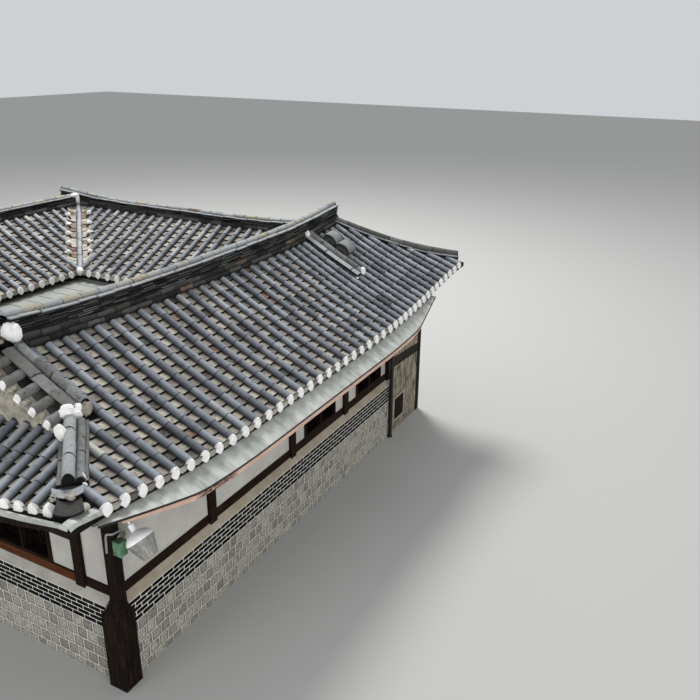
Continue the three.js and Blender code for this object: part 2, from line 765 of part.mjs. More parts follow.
// Sill, wall plate and posts of one side, joined as one timber frame in front of the plaster.
function timberFrame(side, from, to, posts) {
  const depths = [FRAME_FACE, FRAME_BACK];
  const sill = sideBlock(side, from, to, depths, [footZ(FRAME_FACE), SILL_TOP_Z]);
  const plate = sideBlock(side, from, to, depths, [PLATE_BOTTOM_Z, PLATE_TOP_Z]);
  const half = POST_WIDTH / 2;
  const uprights = posts.map((p) => sidePrism(side, p - half, Math.min(p + half, to), POST_OUTLINE));
  return joined([sill, plate, ...uprights]).subtract(roofAndAbove);
}

// The plaster behind the frame, up to the roof, with its window openings cut through.
function plasterWall(side, from, to, windows, outer = FRAME_BACK + SEAT_GAP) {
  const heights = [LEDGE_TOP_Z + SEAT_GAP, WALL_TOP_Z];
  const wall = sideBlock(side, from, to, [outer, PLASTER_BACK], heights).subtract(roofAndAbove);
  const depths = [outer - CUT, PLASTER_BACK + CUT];
  const cut = ([a, b]) => sideBlock(side, a, b, depths, [SILL_TOP_Z, WINDOW_TOP_Z]);
  return largest(windows.reduce((rest, w) => rest.subtract(cut(w)), wall));
}

// A window frame of two lights, set in its opening.
function windowFrame(side, [from, to]) {
  const [a, b] = [from + SEAT_GAP, to - SEAT_GAP];
  const [low, high] = [SILL_TOP_Z + SEAT_GAP, WINDOW_TOP_Z - SEAT_GAP];
  const middle = (a + b) / 2;
  const half = WINDOW_RIM / 2;
  const through = [FRAME_DEPTHS[0] - CUT, FRAME_DEPTHS[1] + CUT];
  const light = (p, q) => sideBlock(side, p, q, through, [low + WINDOW_RIM, high - WINDOW_RIM]);
  return sideBlock(side, a, b, FRAME_DEPTHS, [low, high])
    .subtract(light(a + WINDOW_RIM, middle - half))
    .subtract(light(middle + half, b - WINDOW_RIM));
}

function windowPane(side, from, to) {
  return sideBlock(side, from, to, PANE_DEPTHS, [SILL_TOP_Z, WINDOW_TOP_Z]);
}

function frontSide() {
  const side = SIDES.front;
  const [from, to] = [CASING_IN + SEAT_GAP, END_BAY_X - SEAT_GAP];
  const lowWall = sideBlock(side, from, to, [0, MASONRY_THICKNESS], [0, BRICK_TOP_Z]);
  addNode("masonry_base_front", lowWall, COLOURS.masonry, 0.95);
  addNode("ledge_front", sidePrism(side, from, to, LEDGE), COLOURS.plaster, 0.9);
  const start = CORNER_POST_X[1] + SEAT_GAP;
  const frame = timberFrame(side, start, to, FRONT_POSTS);
  addNode("timber_frame_front", frame, COLOURS.timber, 0.7);
  const plaster = plasterWall(side, start, to, FRONT_WINDOWS);
  addNode("plaster_wall_front", plaster, COLOURS.plaster, 0.9);
  FRONT_WINDOWS.forEach((w, i) => {
    addNode(`window_front_${i + 1}`, windowFrame(side, w), COLOURS.timber, 0.6);
  });
  const pane = windowPane(side, FRONT_WINDOWS[0][0], FRONT_WINDOWS[1][1]);
  addNode("window_glass_front", pane, COLOURS.glass, 0.1);
  const depths = [0, MASONRY_THICKNESS];
  const endWall = sideBlock(side, END_BAY_X, HOUSE_LENGTH, depths, [0, WALL_TOP_Z]);
  addNode("stone_end_wall_front", largest(endWall.subtract(roofAndAbove)), COLOURS.roughStone, 0.95);
}

// The left side stops against the back of the front side at their corner.
function leftSide() {
  const side = SIDES.left;
  const [from, to] = [CASING_IN + SEAT_GAP, FRONT_WING_DEPTH];
  const frontSideRoom = block([CASING_IN, -CUT, -CUT], [HOUSE_LENGTH, INNER_FACE, LEDGE_TOP_Z + CUT]);
  const lowWall = sideBlock(side, from, to, [0, MASONRY_THICKNESS], [0, BRICK_TOP_Z]);
  addNode("masonry_base_left", lowWall.subtract(frontSideRoom), COLOURS.masonry, 0.95);
  const ledge = sidePrism(side, from, to, LEDGE).subtract(frontSideRoom);
  addNode("ledge_left", ledge, COLOURS.plaster, 0.9);
  const frame = timberFrame(side, CORNER_POST_Y[1] + SEAT_GAP, to, LEFT_POSTS);
  addNode("timber_frame_left", frame, COLOURS.timber, 0.7);
  const plaster = plasterWall(side, PLASTER_BACK + SEAT_GAP, to, [LEFT_WINDOW]);
  addNode("plaster_wall_left", plaster, COLOURS.plaster, 0.9);
  addNode("window_left", windowFrame(side, LEFT_WINDOW), COLOURS.timber, 0.6);
  addNode("window_glass_left", windowPane(side, ...LEFT_WINDOW), COLOURS.glass, 0.1);
}

// A plain side that repeats the others: masonry, plaster above it, and perhaps a closed paper window.
function plainSide(name, side, [from, to], [upperFrom, upperTo], window) {
  const base = sidePrism(side, from, to, MASONRY_WITH_LEDGE);
  addNode(`masonry_base_${name}`, base, COLOURS.masonry, 0.95);
  const upper = plasterWall(side, upperFrom, upperTo, window ? [window] : [], FRAME_FACE);
  addNode(`upper_wall_${name}`, upper, COLOURS.plaster, 0.9);
  if (!window) return;
  const heights = [SILL_TOP_Z + SEAT_GAP, WINDOW_TOP_Z - SEAT_GAP];
  const [a, b] = [window[0] + SEAT_GAP, window[1] - SEAT_GAP];
  addNode(`window_${name}`, sideBlock(side, a, b, SASH_DEPTHS, heights), COLOURS.timber, 0.6);
}

// A down pipe that stands on the ground against the masonry, on a wider foot.
function downPipe() {
  const y = -PIPE_FOOT_RADIUS - SEAT_GAP;
  const outline = [
    [0, 0],
    [PIPE_FOOT_RADIUS, 0],
    [PIPE_FOOT_RADIUS, PIPE_FOOT_Z],
    [PIPE_RADIUS, PIPE_COLLAR_Z],
    [PIPE_RADIUS, PIPE_TOP_Z],
    [0, PIPE_TOP_Z],
  ];
  addNode("down_pipe", turned(outline).translate([PIPE_X, y, 0]), COLOURS.pipe, 0.5);
}

// A low framed hatch on the face of the end wall, its panel set back in its rim.
function endWallHatch() {
  const side = SIDES.front;
  const [a, b] = HATCH_SPAN;
  const [low, high] = HATCH_HEIGHTS;
  const plate = sideBlock(side, a, b, [-HATCH_THICKNESS, -SEAT_GAP], [low, high]);
  const recess = sideBlock(
    side,
    a + HATCH_RIM,
    b - HATCH_RIM,
    [-HATCH_THICKNESS - CUT, HATCH_RECESS - HATCH_THICKNESS],
    [low + HATCH_RIM, high - HATCH_RIM],
  );
  addNode("end_wall_hatch", plate.subtract(recess), COLOURS.timber, 0.6);
}

// A wall to the court, down to the ground, with an open doorway.
function courtWall(name, low, high, door) {
  const wall = block(low, high).subtract(roofAndAbove).subtract(block(door[0], door[1]));
  addNode(name, largest(wall), COLOURS.plaster, 0.9);
}

function courtWalls() {
  const t = COURT_WALL_THICKNESS;
  const right = RIGHT_WING_INNER_X + t;
  const wings = [
    ["court_wall_front", FRONT_WING_DEPTH - t, FRONT_WING_DEPTH],
    ["court_wall_rear", REAR_WING_FRONT_Y, REAR_WING_FRONT_Y + t],
  ];
  for (const [name, y0, y1] of wings) {
    const door = [
      [WING_DOOR_X, y0 - CUT, -CUT],
      [WING_DOOR_X + DOOR_WIDTH, y1 + CUT, DOOR_TOP_Z],
    ];
    courtWall(name, [INNER_FACE, y0, 0], [right, y1, WALL_TOP_Z], door);
  }
  const door = [
    [RIGHT_WING_INNER_X - CUT, RIGHT_DOOR_Y, -CUT],
    [right + CUT, RIGHT_DOOR_Y + DOOR_WIDTH, DOOR_TOP_Z],
  ];
  const low = [RIGHT_WING_INNER_X, FRONT_WING_DEPTH + SEAT_GAP, 0];
  courtWall("court_wall_right", low, [right, REAR_WING_FRONT_Y - SEAT_GAP, WALL_TOP_Z], door);
}

function floors() {
  const t = COURT_WALL_THICKNESS + SEAT_GAP;
  const innerX = RIGHT_WING_INNER_X + t;
  const outerX = HOUSE_LENGTH - INNER_FACE;
  const heights = [FLOOR_Z - FLOOR_THICKNESS, FLOOR_Z];
  const plan = [
    ["front_wing_floor", INNER_FACE, INNER_FACE, outerX, FRONT_WING_DEPTH - t],
    ["right_wing_floor", innerX, FRONT_WING_DEPTH - t, outerX, REAR_WING_FRONT_Y + t],
    ["rear_wing_floor", INNER_FACE, REAR_WING_FRONT_Y + t, outerX, HOUSE_DEPTH - INNER_FACE],
  ];
  for (const [name, x0, y0, x1, y1] of plan) {
    addNode(name, block([x0, y0, heights[0]], [x1, y1, heights[1]]), COLOURS.timber, 0.6);
  }
}

// The big post of the near corner: a wide casing below the ledge, chamfered to the post above.
function cornerPost() {
  const span = [-CASING_OUT, CASING_IN];
  const casing = [span, span];
  const slim = [CORNER_POST_X, CORNER_POST_Y];
  const ring = ([[x0, x1], [y0, y1]], z) => [
    [x0, y0, z],
    [x1, y0, z],
    [x1, y1, z],
    [x0, y1, z],
  ];
  const outline = ring(casing, 0).map(([x, y]) => [x, y]);
  const post = loft(
    [
      ring(casing, 0),
      ring(casing, CASING_TOP_Z),
      ring(slim, LEDGE_TOP_Z),
      ring(slim, WALL_TOP_Z),
    ],
    outline,
  );
  addNode("corner_post", largest(post.subtract(roofAndAbove)), COLOURS.timber, 0.7);
}

function farPost() {
  const low = [HOUSE_LENGTH + SEAT_GAP, FAR_POST_Y, 0];
  const high = [HOUSE_LENGTH + FAR_POST_WIDTH, FAR_POST_Y + FAR_POST_WIDTH, WALL_TOP_Z];
  addNode("far_corner_post", largest(block(low, high).subtract(roofAndAbove)), COLOURS.timber, 0.7);
}

// How far along its fold a metal apron has narrowed: none in the middle, whole at either end.
function apronFold(x) {
  const left = (APRON_FOLD_LEFT_X - x) / (APRON_FOLD_LEFT_X - APRON_START_X);
  const right = (x - APRON_FOLD_RIGHT_X) / (APRON_END_X - APRON_FOLD_RIGHT_X);
  return Math.min(1, Math.max(0, left, right));
}

function apronEdge(x) {
  const fold = apronFold(x);
  const eave = FRONT_EAVE_Y - bulge(x, LEFT_EAVE_X, RIGHT_EAVE_X);
  const y = eave - mix(APRON_OVERHANG, APRON_END_OVERHANG, fold);
  const z = frontZ(x, FRONT_EAVE_Y) - mix(APRON_DROP, APRON_END_DROP, fold);
  return [x, y, z];
}

// The sheet metal that runs out from under the front eave, and the board under its edge.
function eaveTrim() {
  const across = steps(26).map((t) => mix(APRON_START_X, APRON_END_X, t));
  const under = ROOF_THICKNESS + APRON_CLEARANCE;
  const inner = across.map((x) => [x, APRON_INNER_Y, frontZ(x, APRON_INNER_Y) - under]);
  const eave = across.map((x) => {
    const y = FRONT_EAVE_Y - bulge(x, LEFT_EAVE_X, RIGHT_EAVE_X) - 5;
    return [x, y, frontZ(x, y) - under - APRON_THICKNESS];
  });
  const outer = across.map((x) => apronEdge(x));
  const sheet = slab([inner, eave, outer], APRON_THICKNESS).subtract(roofRoom);
  addNode("front_apron", largest(sheet), COLOURS.metal, 0.5, 0.6);
  const outline = [
    [0, 0],
    [FASCIA_THICKNESS, 0],
    [FASCIA_THICKNESS, -FASCIA_HEIGHT],
    [0, -FASCIA_HEIGHT],
  ];
  const rings = outer.slice(1, -1).map(([x, y, z], i) => {
    const [, eaveY, eaveZ] = eave[i + 1];
    const slope = (eaveZ - z) / (eaveY - y);
    const topAt = (inset) => z + slope * inset + FASCIA_INSET;
    const [near, far] = [FASCIA_INSET, FASCIA_INSET + FASCIA_THICKNESS];
    const low = z - FASCIA_HEIGHT * (1 - 0.5 * apronFold(x));
    return [
      [x, y + near, topAt(near)],
      [x, y + far, topAt(far)],
      [x, y + far, low],
      [x, y + near, low],
    ];
  });
  const raised = [inner, eave, outer].map((row) =>
    row.map(([x, y, z]) => [x, y, z + FASCIA_HEIGHT]),
  );
  const apronAndAbove = slab(raised, FASCIA_HEIGHT + APRON_THICKNESS + SEAT_GAP);
  const frontBoard = loft(rings, outline).subtract(apronAndAbove);
  addNode("front_fascia", largest(frontBoard), COLOURS.fascia, 0.7);
  const leftRings = steps(16).map((t) => {
    const y = mix(FRONT_EAVE_Y + LEFT_FASCIA_STOP, FRONT_COURT_EAVE_Y - LEFT_FASCIA_STOP, t);
    const x = LEFT_EAVE_X + LEFT_FASCIA_INSET;
    const top = leftZ(LEFT_EAVE_X, y) - LEFT_FASCIA_DROP;
    return [
      [x, y, top],
      [x + FASCIA_THICKNESS, y, top],
      [x + FASCIA_THICKNESS, y, top - FASCIA_HEIGHT],
      [x, y, top - FASCIA_HEIGHT],
    ];
  });
  const leftBoard = loft(leftRings, outline).subtract(roofRoom);
  addNode("left_fascia", largest(leftBoard), COLOURS.timber, 0.7);
}

function courtSheet() {
  const low = [COURT_OPEN_X, FRONT_WING_DEPTH + SEAT_GAP, COURT_SHEET_Z];
  const high = [
    RIGHT_WING_INNER_X - SEAT_GAP,
    REAR_WING_FRONT_Y - SEAT_GAP,
    COURT_SHEET_Z + COURT_SHEET_THICKNESS,
  ];
  addNode("courtyard_sheet", block(low, high), COLOURS.sheet, 0.6);
}

// A round bar along a smooth path.
function bar(points, radius) {
  const curve = new THREE.CatmullRomCurve3(points.map((p) => new THREE.Vector3(...p)));
  const count = 12;
  const frames = curve.computeFrenetFrames(count, false);
  const outline = steps(9).slice(0, -1).map((t) => {
    const angle = t * Math.PI * 2;
    return [radius * Math.cos(angle), radius * Math.sin(angle)];
  });
  const rings = steps(count).map((t, i) => {
    const centre = curve.getPointAt(t);
    return outline.map(([u, v]) => {
      const p = centre.clone().addScaledVector(frames.normals[i], u);
      return p.addScaledVector(frames.binormals[i], v).toArray();
    });
  });
  return loft(rings, outline);
}

// A turned solid about the Z axis, from its outline of radii and heights.
function turned(outline) {
  const closed = [...outline, outline[0]].map(([r, z]) => new THREE.Vector2(r, z));
  const geometry = new THREE.LatheGeometry(closed, 24);
  geometry.rotateX(Math.PI / 2);
  const solid = geometry.toNonIndexed();
  solid.deleteAttribute("normal");
  solid.deleteAttribute("uv");
  const merged = mergeVertices(solid, 1e-3);
  return solidFromIndexed([...merged.attributes.position.array], [...merged.index.array]);
}

// The lamp's pieces are turned about the Z axis from the plane of the rim, leaned out and set in place.
function lamp() {
  const placed = (outline) => turned(outline).rotate([LAMP_LEAN, 0, 0]).translate(LAMP_RIM);
  const lean = THREE.MathUtils.degToRad(LAMP_LEAN);
  const onAxis = (up) => [
    LAMP_RIM[0],
    LAMP_RIM[1] - up * Math.sin(lean),
    LAMP_RIM[2] + up * Math.cos(lean),
  ];
  const face = CORNER_POST_Y[0] - SEAT_GAP;
  const [boxLeft, boxRight] = BOX_SPAN;
  const [boxLow, boxHigh] = BOX_HEIGHTS;
  const box = block([boxLeft, face - BOX_DEPTH, boxLow], [boxRight, face, boxHigh]);
  addNode("junction_box", box, COLOURS.box, 0.6);
  const dome = steps(8).map((t) => {
    const angle = (t * Math.PI) / 2;
    return [t === 1 ? 0 : DOME_RADIUS * Math.cos(angle), DOME_HEIGHT * Math.sin(angle)];
  });
  const share = (DOME_RADIUS - DOME_THICKNESS) / DOME_RADIUS;
  const hollow = dome.toReversed().map(([r, z]) => [r * share, z * share]);
  addNode("lamp_shade", placed([...dome, ...hollow]), COLOURS.silver, 0.3, 0.8);
  const lens = [
    [LENS_TOP_RADIUS - LENS_THICKNESS, -SEAT_GAP],
    [LENS_TOP_RADIUS, -SEAT_GAP],
    [LENS_FOOT_RADIUS, -LENS_DEPTH],
    [0, -LENS_DEPTH],
    [0, LENS_THICKNESS - LENS_DEPTH],
    [LENS_FOOT_RADIUS - LENS_THICKNESS, LENS_THICKNESS - LENS_DEPTH],
  ];
  addNode("lamp_lens", placed(lens), COLOURS.lens, 0.3);
  const neckFoot = DOME_HEIGHT + SEAT_GAP;
  const neckTop = neckFoot + NECK_LENGTH;
  const neck = [
    [0, neckFoot],
    [NECK_RADIUS, neckFoot],
    [NECK_RADIUS, neckTop],
    [0, neckTop],
  ];
  const armX = boxRight - BRACKET_RADIUS;
  const arm = [
    [armX, face - SEAT_GAP, BRACKET_Z],
    [armX, face - 50, BRACKET_Z + 1],
    [(armX + LAMP_RIM[0]) / 2, face - 95, BRACKET_Z - 20],
    onAxis(neckTop + 35),
    onAxis(neckTop - NECK_LENGTH / 2),
  ];
  const bracket = joined([placed(neck), bar(arm, BRACKET_RADIUS)]);
  addNode("lamp_bracket", bracket, COLOURS.silver, 0.4, 0.7);
}

eaveTrim();
courtSheet();
lamp();
frontSide();
leftSide();
const sideSpan = [INNER_FACE, HOUSE_DEPTH - INNER_FACE];
const upperRearY = HOUSE_DEPTH - PLASTER_BACK - SEAT_GAP;
plainSide("right", SIDES.right, sideSpan, [INNER_FACE, upperRearY], RIGHT_WINDOW);
plainSide("rear", SIDES.rear, [0, HOUSE_LENGTH], [FRAME_FACE, HOUSE_LENGTH - FRAME_FACE], REAR_WINDOW);
const rearLeftSpan = [REAR_WING_FRONT_Y, HOUSE_DEPTH - INNER_FACE];
plainSide("rear_left", SIDES.left, rearLeftSpan, [REAR_WING_FRONT_Y, upperRearY]);
farPost();
downPipe();
endWallHatch();
courtWalls();
floors();
cornerPost();

export default house;
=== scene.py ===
"""A courtyard hanok: smoked clay tiles, lime mortar, dark pine and black brick over granite, in metres."""
import math

import bpy
import numpy as np
from mathutils import Matrix


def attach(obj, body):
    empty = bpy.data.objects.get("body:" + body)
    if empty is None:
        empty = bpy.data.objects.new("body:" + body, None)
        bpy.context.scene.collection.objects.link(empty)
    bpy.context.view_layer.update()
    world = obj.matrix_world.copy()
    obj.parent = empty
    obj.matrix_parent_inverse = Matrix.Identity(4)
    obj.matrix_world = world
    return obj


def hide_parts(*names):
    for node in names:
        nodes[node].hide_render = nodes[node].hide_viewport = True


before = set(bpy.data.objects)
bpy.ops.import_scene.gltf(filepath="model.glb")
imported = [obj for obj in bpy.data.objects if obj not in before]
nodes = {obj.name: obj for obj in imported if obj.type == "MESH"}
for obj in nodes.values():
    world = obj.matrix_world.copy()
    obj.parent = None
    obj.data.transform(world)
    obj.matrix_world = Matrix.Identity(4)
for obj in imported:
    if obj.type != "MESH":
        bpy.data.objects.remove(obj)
scene = bpy.context.scene
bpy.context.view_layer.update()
chance = np.random.default_rng(31)

# Roof plan and heights, as in the solids.
LEFT_EAVE, FRONT_EAVE, RIGHT_EAVE, REAR_EAVE = -0.98, -0.62, 9.25, 10.45
FRONT_RIDGE, FRONT_COURT = 1.62, 3.86
RIGHT_COURT, RIGHT_RIDGE = 5.92, 7.86
REAR_COURT, REAR_RIDGE = 6.57, 8.51
MAIN_RUN, SIDE_RUN, OUTER_RUN = 2.24, 1.94, 1.39
RIDGE_START, FRONT_RIDGE_END = 0.33, 7.95
EAVE_HEIGHT, PITCH, SAG = 2.86, 0.5, 0.18
RIDGE_MIDDLE, RIDGE_REACH, REAR_REACH = 4.05, 3.85, 2.5
BULGE, BULGE_REACH = 0.08, 1.7
HIP_OUT, FRONT_HIP, REAR_HIP = 0.08, (2.32, 1.38), (2.02, 1.47)
LIFTS = (
    (LEFT_EAVE, FRONT_EAVE, 0.355, 2.97),
    (RIGHT_EAVE, FRONT_EAVE, 0.490, 3.95),
    (LEFT_EAVE, FRONT_COURT, 0.250, 1.60),
    (LEFT_EAVE, REAR_COURT, 0.250, 1.60),
    (LEFT_EAVE, REAR_EAVE, 0.300, 2.40),
    (RIGHT_EAVE, REAR_EAVE, 0.350, 2.80),
)

# Tiles, in metres of plan along a slope of about 1 in 2.
COVER_STEP, TROUGH_STEP, RIDGE_STEP, CROSS_STEP = 0.268, 0.134, 0.3, 0.212
COVER_HALF, COVER_RISE, TILE_THICKNESS, TILE_LAP, TROUGH_LAP = 0.070, 0.092, 0.016, 0.012, 0.004
PLUG_HALF, PLUG_RISE, PLUG_LEAN = 0.070, 0.090, 0.4
LIP_DROP, LIP_DIP, LIP_THICKNESS, LIP_LEAN = 0.080, 0.028, 0.016, 0.55
ROW_START, SKIRT_INSET, VALLEY_GAP, SHORTEST_ROW = 0.025, 0.08, 0.36, 0.12
HIP_HEIGHT = 0.18
TROUGH_LIFT = np.array([[0.034], [0.012]])
RED, RED_SHARE = 0.98, 0.03
X, Y, UP = np.eye(3)


def unit(v):
    return v / np.maximum(np.linalg.norm(v, axis=-1, keepdims=True), 1e-9)


def columns(*values):
    """Numbers and arrays of like shape side by side, as the last axis of one array."""
    return np.stack(np.broadcast_arrays(*values), -1)


def roof_height(x, y, inward):
    """Height of the tile bed: pitch times distance in from the eave, less a sag, plus the corners' lift."""
    share = inward / MAIN_RUN
    lift = sum(high * np.maximum(0, 1 - np.hypot(x - cx, y - cy) / reach) ** 2 for cx, cy, high, reach in LIFTS)
    along = np.abs(x - RIDGE_MIDDLE) / RIDGE_REACH
    near_front = np.clip((FRONT_COURT - y) / MAIN_RUN, 0, 1)
    back = np.maximum(0, (y - REAR_COURT) / REAR_REACH)
    ends = (0.09 * along**2.5 * near_front + 0.06 * back**2) * share * share
    return EAVE_HEIGHT + PITCH * inward - SAG * share * (1 - share) + lift + ends


def bulge(along, start, end):
    """How far an eave swings out towards the corners at its two ends."""
    nearest = np.minimum(np.abs(along - start), np.abs(along - end))
    return BULGE * np.maximum(0, 1 - nearest / BULGE_REACH) ** 2


class Slope:
    """One roof side. A point is given by its place along the eave and its distance in from it."""

    def __init__(self, axis, eave, way, stretch=1.0):
        self.axis, self.eave, self.way, self.stretch = axis, eave, way, stretch

    def point(self, along, inward):
        across = self.eave + self.way * inward
        x, y = (along, across) if self.axis == "x" else (across, along)
        return columns(x, y, roof_height(x, y, inward * self.stretch))

    def frame(self, along, inward):
        """Unit vectors along the eave and square to the tile bed, from differences of nearby points."""
        d = 0.01
        side = unit(self.point(along + d, inward) - self.point(along - d, inward))
        rising = self.point(along, inward + d) - self.point(along, inward - d)
        normal = unit(np.cross(side, rising))
        return side, normal * np.sign(normal[..., 2:])


class Heap:
    """Many small closed bodies gathered into one piece. Each is a stack of rings with a tone of its own."""

    def __init__(self):
        self.points, self.loops, self.starts, self.tones, self.runs, self.painted_shades = [], [], [], [], [], []
        self.count = self.looped = 0

    def add(self, rings, tone=0.5, painted_shade=0.0):
        """rings has the shape (bodies, rings, corners, 3). Both end rings are closed by flat faces.

        The last argument is painted shade for each corner of a ring: 0 where the corner is lit, up to 1 where
        shadow falls on it."""
        rings = np.asarray(rings, float)
        bodies, layers, corners, _ = rings.shape
        first, second = rings[:, 0].mean(1), rings[:, -1].mean(1)
        ring = rings[:, 0] - first[:, None]
        area = np.cross(ring, np.roll(ring, -1, 1)).sum(1)
        turned = np.einsum("ij,ij->i", area, second - first) < 0
        rings[turned] = rings[turned][:, :, ::-1]
        painted_shade = np.broadcast_to(painted_shade, (bodies, corners)).astype(float)
        painted_shade[turned] = painted_shade[turned][:, ::-1]
        index = np.arange(layers * corners).reshape(layers, corners)
        after = np.roll(index, -1, 1)
        quads = np.stack([index[:-1], after[:-1], after[1:], index[1:]], -1).reshape(-1)
        one = np.concatenate([quads, index[0, ::-1], index[-1]])
        sizes = np.concatenate([np.full((layers - 1) * corners, 4), [corners, corners]])
        shift = self.count + np.arange(bodies)[:, None] * layers * corners
        self.loops.append((one[None] + shift).reshape(-1))
        begin = np.concatenate([[0], np.cumsum(sizes)[:-1]])
        self.starts.append((begin[None] + self.looped + np.arange(bodies)[:, None] * len(one)).reshape(-1))
        self.points.append(rings.reshape(-1, 3))
        self.tones.append(np.repeat(np.broadcast_to(tone, bodies), layers * corners))
        self.runs.append(np.tile(np.repeat(np.linspace(0, 1, layers), corners), bodies))
        self.painted_shades.append(np.repeat(painted_shade[:, None], layers, 1).reshape(-1))
        self.count += bodies * layers * corners
        self.looped += bodies * len(one)
        return self

    def make(self, name, material, slot, stands_for=None, crease=40):
        """The finished piece: its mesh and material, its body, and the node that it replaces. slot is not used.
        """
        points, loops, starts = (np.concatenate(a) for a in (self.points, self.loops, self.starts))
        mesh = bpy.data.meshes.new(name)
        mesh.vertices.add(len(points))
        mesh.vertices.foreach_set("co", points.astype(np.float32).reshape(-1))
        mesh.loops.add(len(loops))
        mesh.loops.foreach_set("vertex_index", loops.astype(np.int32))
        mesh.polygons.add(len(starts))
        mesh.polygons.foreach_set("loop_start", starts.astype(np.int32))
        for title, values in (("tone", self.tones), ("run", self.runs), ("painted_shade", self.painted_shades)):
            layer = mesh.attributes.new(title, "FLOAT", "POINT")
            layer.data.foreach_set("value", np.concatenate(values).astype(np.float32))
        mesh.update(calc_edges=True)
        mesh.validate()
        mesh.shade_smooth()
        mesh.set_sharp_from_angle(angle=math.radians(crease))
        mesh.materials.append(material)
        piece = bpy.data.objects.new(name, mesh)
        scene.collection.objects.link(piece)
        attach(piece, "root")
        if stands_for:
            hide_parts(stands_for)


# Materials


def linear(code):
    """sRGB hex to the linear colour that a socket holds."""
    parts = [int(code[i : i + 2], 16) / 255 for i in (1, 3, 5)]
    return tuple(c / 12.92 if c <= 0.04045 else ((c + 0.055) / 1.055) ** 2.4 for c in parts) + (1.0,)


def put(tree, kind, sockets=None, stops=None, **settings):
    """Adds a node with its settings. A socket's value is a number, a colour, or another node's output."""
    made = tree.nodes.new("ShaderNode" + kind)
    for key, value in settings.items():
        setattr(made, key, value)
    for key, value in (sockets or {}).items():
        if isinstance(value, bpy.types.NodeSocket):
            tree.links.new(value, made.inputs[key])
        else:
            made.inputs[key].default_value = value
    if stops:
        ramp = made.color_ramp
        while len(ramp.elements) < len(stops):
            ramp.elements.new(0.5)
        for element, (place, colour) in zip(ramp.elements, stops):
            element.position = place
            element.color = linear(colour) if isinstance(colour, str) else (colour, colour, colour, 1)
    return made


def blend(tree, mask, under, code):
    """Lays a colour over another where the mask is high."""
    return put(tree, "Mix", {0: mask, 6: under, 7: linear(code)}, data_type="RGBA").outputs[2]


def stuff(name, shades, scale, by_body=False, blotches=(), grain=(60, 0.004), stretch=(1, 1, 1), rough=0.85,
          metallic=0.0, joint=None, painted_shade=None, rough_spread=0.1, spread=0.35, shine=0.4):
    """A weathered surface: shades picked by a cloud, blotches laid over them, and a bump for the grain.

    shades are hex colours from dark to light, and the cloud has scale spots per metre. by_body picks a shade
    by each body's tone, which the cloud shifts by spread. Each blotch is (hex, scale, low, high, most), and
    with a sixth entry (place, reach) it is kept near that place. joint and the painted shade are each (hex,
    low, high): joint draws a dark line at the high end of each tile, and the painted shade darkens the corners
    that a mesh marks as shaded."""
    made = bpy.data.materials.new(name)
    made.use_nodes = True
    tree = made.node_tree
    shader = tree.nodes["Principled BSDF"]
    coords = put(tree, "TexCoord").outputs["Object"]
    place = put(tree, "Mapping", {"Vector": coords, "Scale": stretch}).outputs[0]
    cloud = put(tree, "TexNoise", {"Vector": place, "Scale": scale, "Detail": 6.0, "Roughness": 0.65})
    if by_body:
        own = put(tree, "Attribute", attribute_name="tone").outputs["Fac"]
        drift = put(tree, "Math", {0: cloud.outputs[0], 1: spread, 2: -0.5 * spread}, operation="MULTIPLY_ADD")
        pick = put(tree, "Math", {0: own, 1: drift.outputs[0]}, operation="ADD").outputs[0]
    else:
        pick = put(tree, "MapRange", {"Value": cloud.outputs[0], "From Min": 0.3, "From Max": 0.7}).outputs[0]
    places = np.linspace(0, 1, len(shades))
    colour = put(tree, "ValToRGB", {"Fac": pick}, stops=list(zip(places, shades))).outputs[0]
    for code, spots, low, high, most, *near in blotches:
        patch = put(tree, "TexNoise", {"Vector": place, "Scale": spots, "Detail": 8.0, "Roughness": 0.7})
        edges = {"Value": patch.outputs[0], "From Min": low, "From Max": high, "To Max": most}
        mask = put(tree, "MapRange", edges).outputs[0]
        if near:
            (centre, reach), = near
            away = put(tree, "VectorMath", {0: coords, 1: centre}, operation="DISTANCE").outputs["Value"]
            edges = {"Value": away, "From Min": reach, "From Max": 0.6 * reach}
            close = put(tree, "MapRange", edges).outputs[0]
            mask = put(tree, "Math", {0: mask, 1: close}, operation="MULTIPLY").outputs[0]
        colour = blend(tree, mask, colour, code)
    # The first mask darkens where a mesh marks painted shade; the second draws the dark line at each tile's
    # high end.
    for attribute, given in (("painted_shade", painted_shade), ("run", joint)):
        if given:
            code, low, high = given
            value = put(tree, "Attribute", attribute_name=attribute).outputs["Fac"]
            mask = put(tree, "MapRange", {"Value": value, "From Min": low, "From Max": high})
            colour = blend(tree, mask.outputs[0], colour, code)
    tree.links.new(colour, shader.inputs["Base Color"])
    fine = put(tree, "TexNoise", {"Vector": place, "Scale": grain[0], "Detail": 5.0, "Roughness": 0.6})
    bump = put(tree, "Bump", {"Height": fine.outputs[0], "Distance": grain[1], "Strength": 0.8})
    tree.links.new(bump.outputs[0], shader.inputs["Normal"])
    sheen = {"Value": fine.outputs[0], "To Min": rough - rough_spread, "To Max": rough + rough_spread}
    tree.links.new(put(tree, "MapRange", sheen).outputs[0], shader.inputs["Roughness"])
    shader.inputs["Metallic"].default_value = metallic
    shader.inputs["Specular IOR Level"].default_value = shine
    return made


# Smoked clay, pressed and kiln-fired: slate grey with a faint sheen, paler where rain has washed it.
# Painted shade darkens each cover tile towards the foot of its sides.
COVER_TILE = stuff(
    "smoked_clay_cover_tile", ("#3a3c41", "#5c6068", "#7a7f87", "#949aa1", "#adaea6"), 5.0, True,
    blotches=(
        ("#8f9396", 14, 0.55, 0.75, 0.5), ("#24262a", 9, 0.54, 0.70, 0.6), ("#a3a39b", 50, 0.62, 0.72, 0.6)),
    grain=(90, 0.004), rough=0.6, joint=("#070809", 0.90, 0.955), painted_shade=("#060709", 0.04, 0.62), spread=0.34)
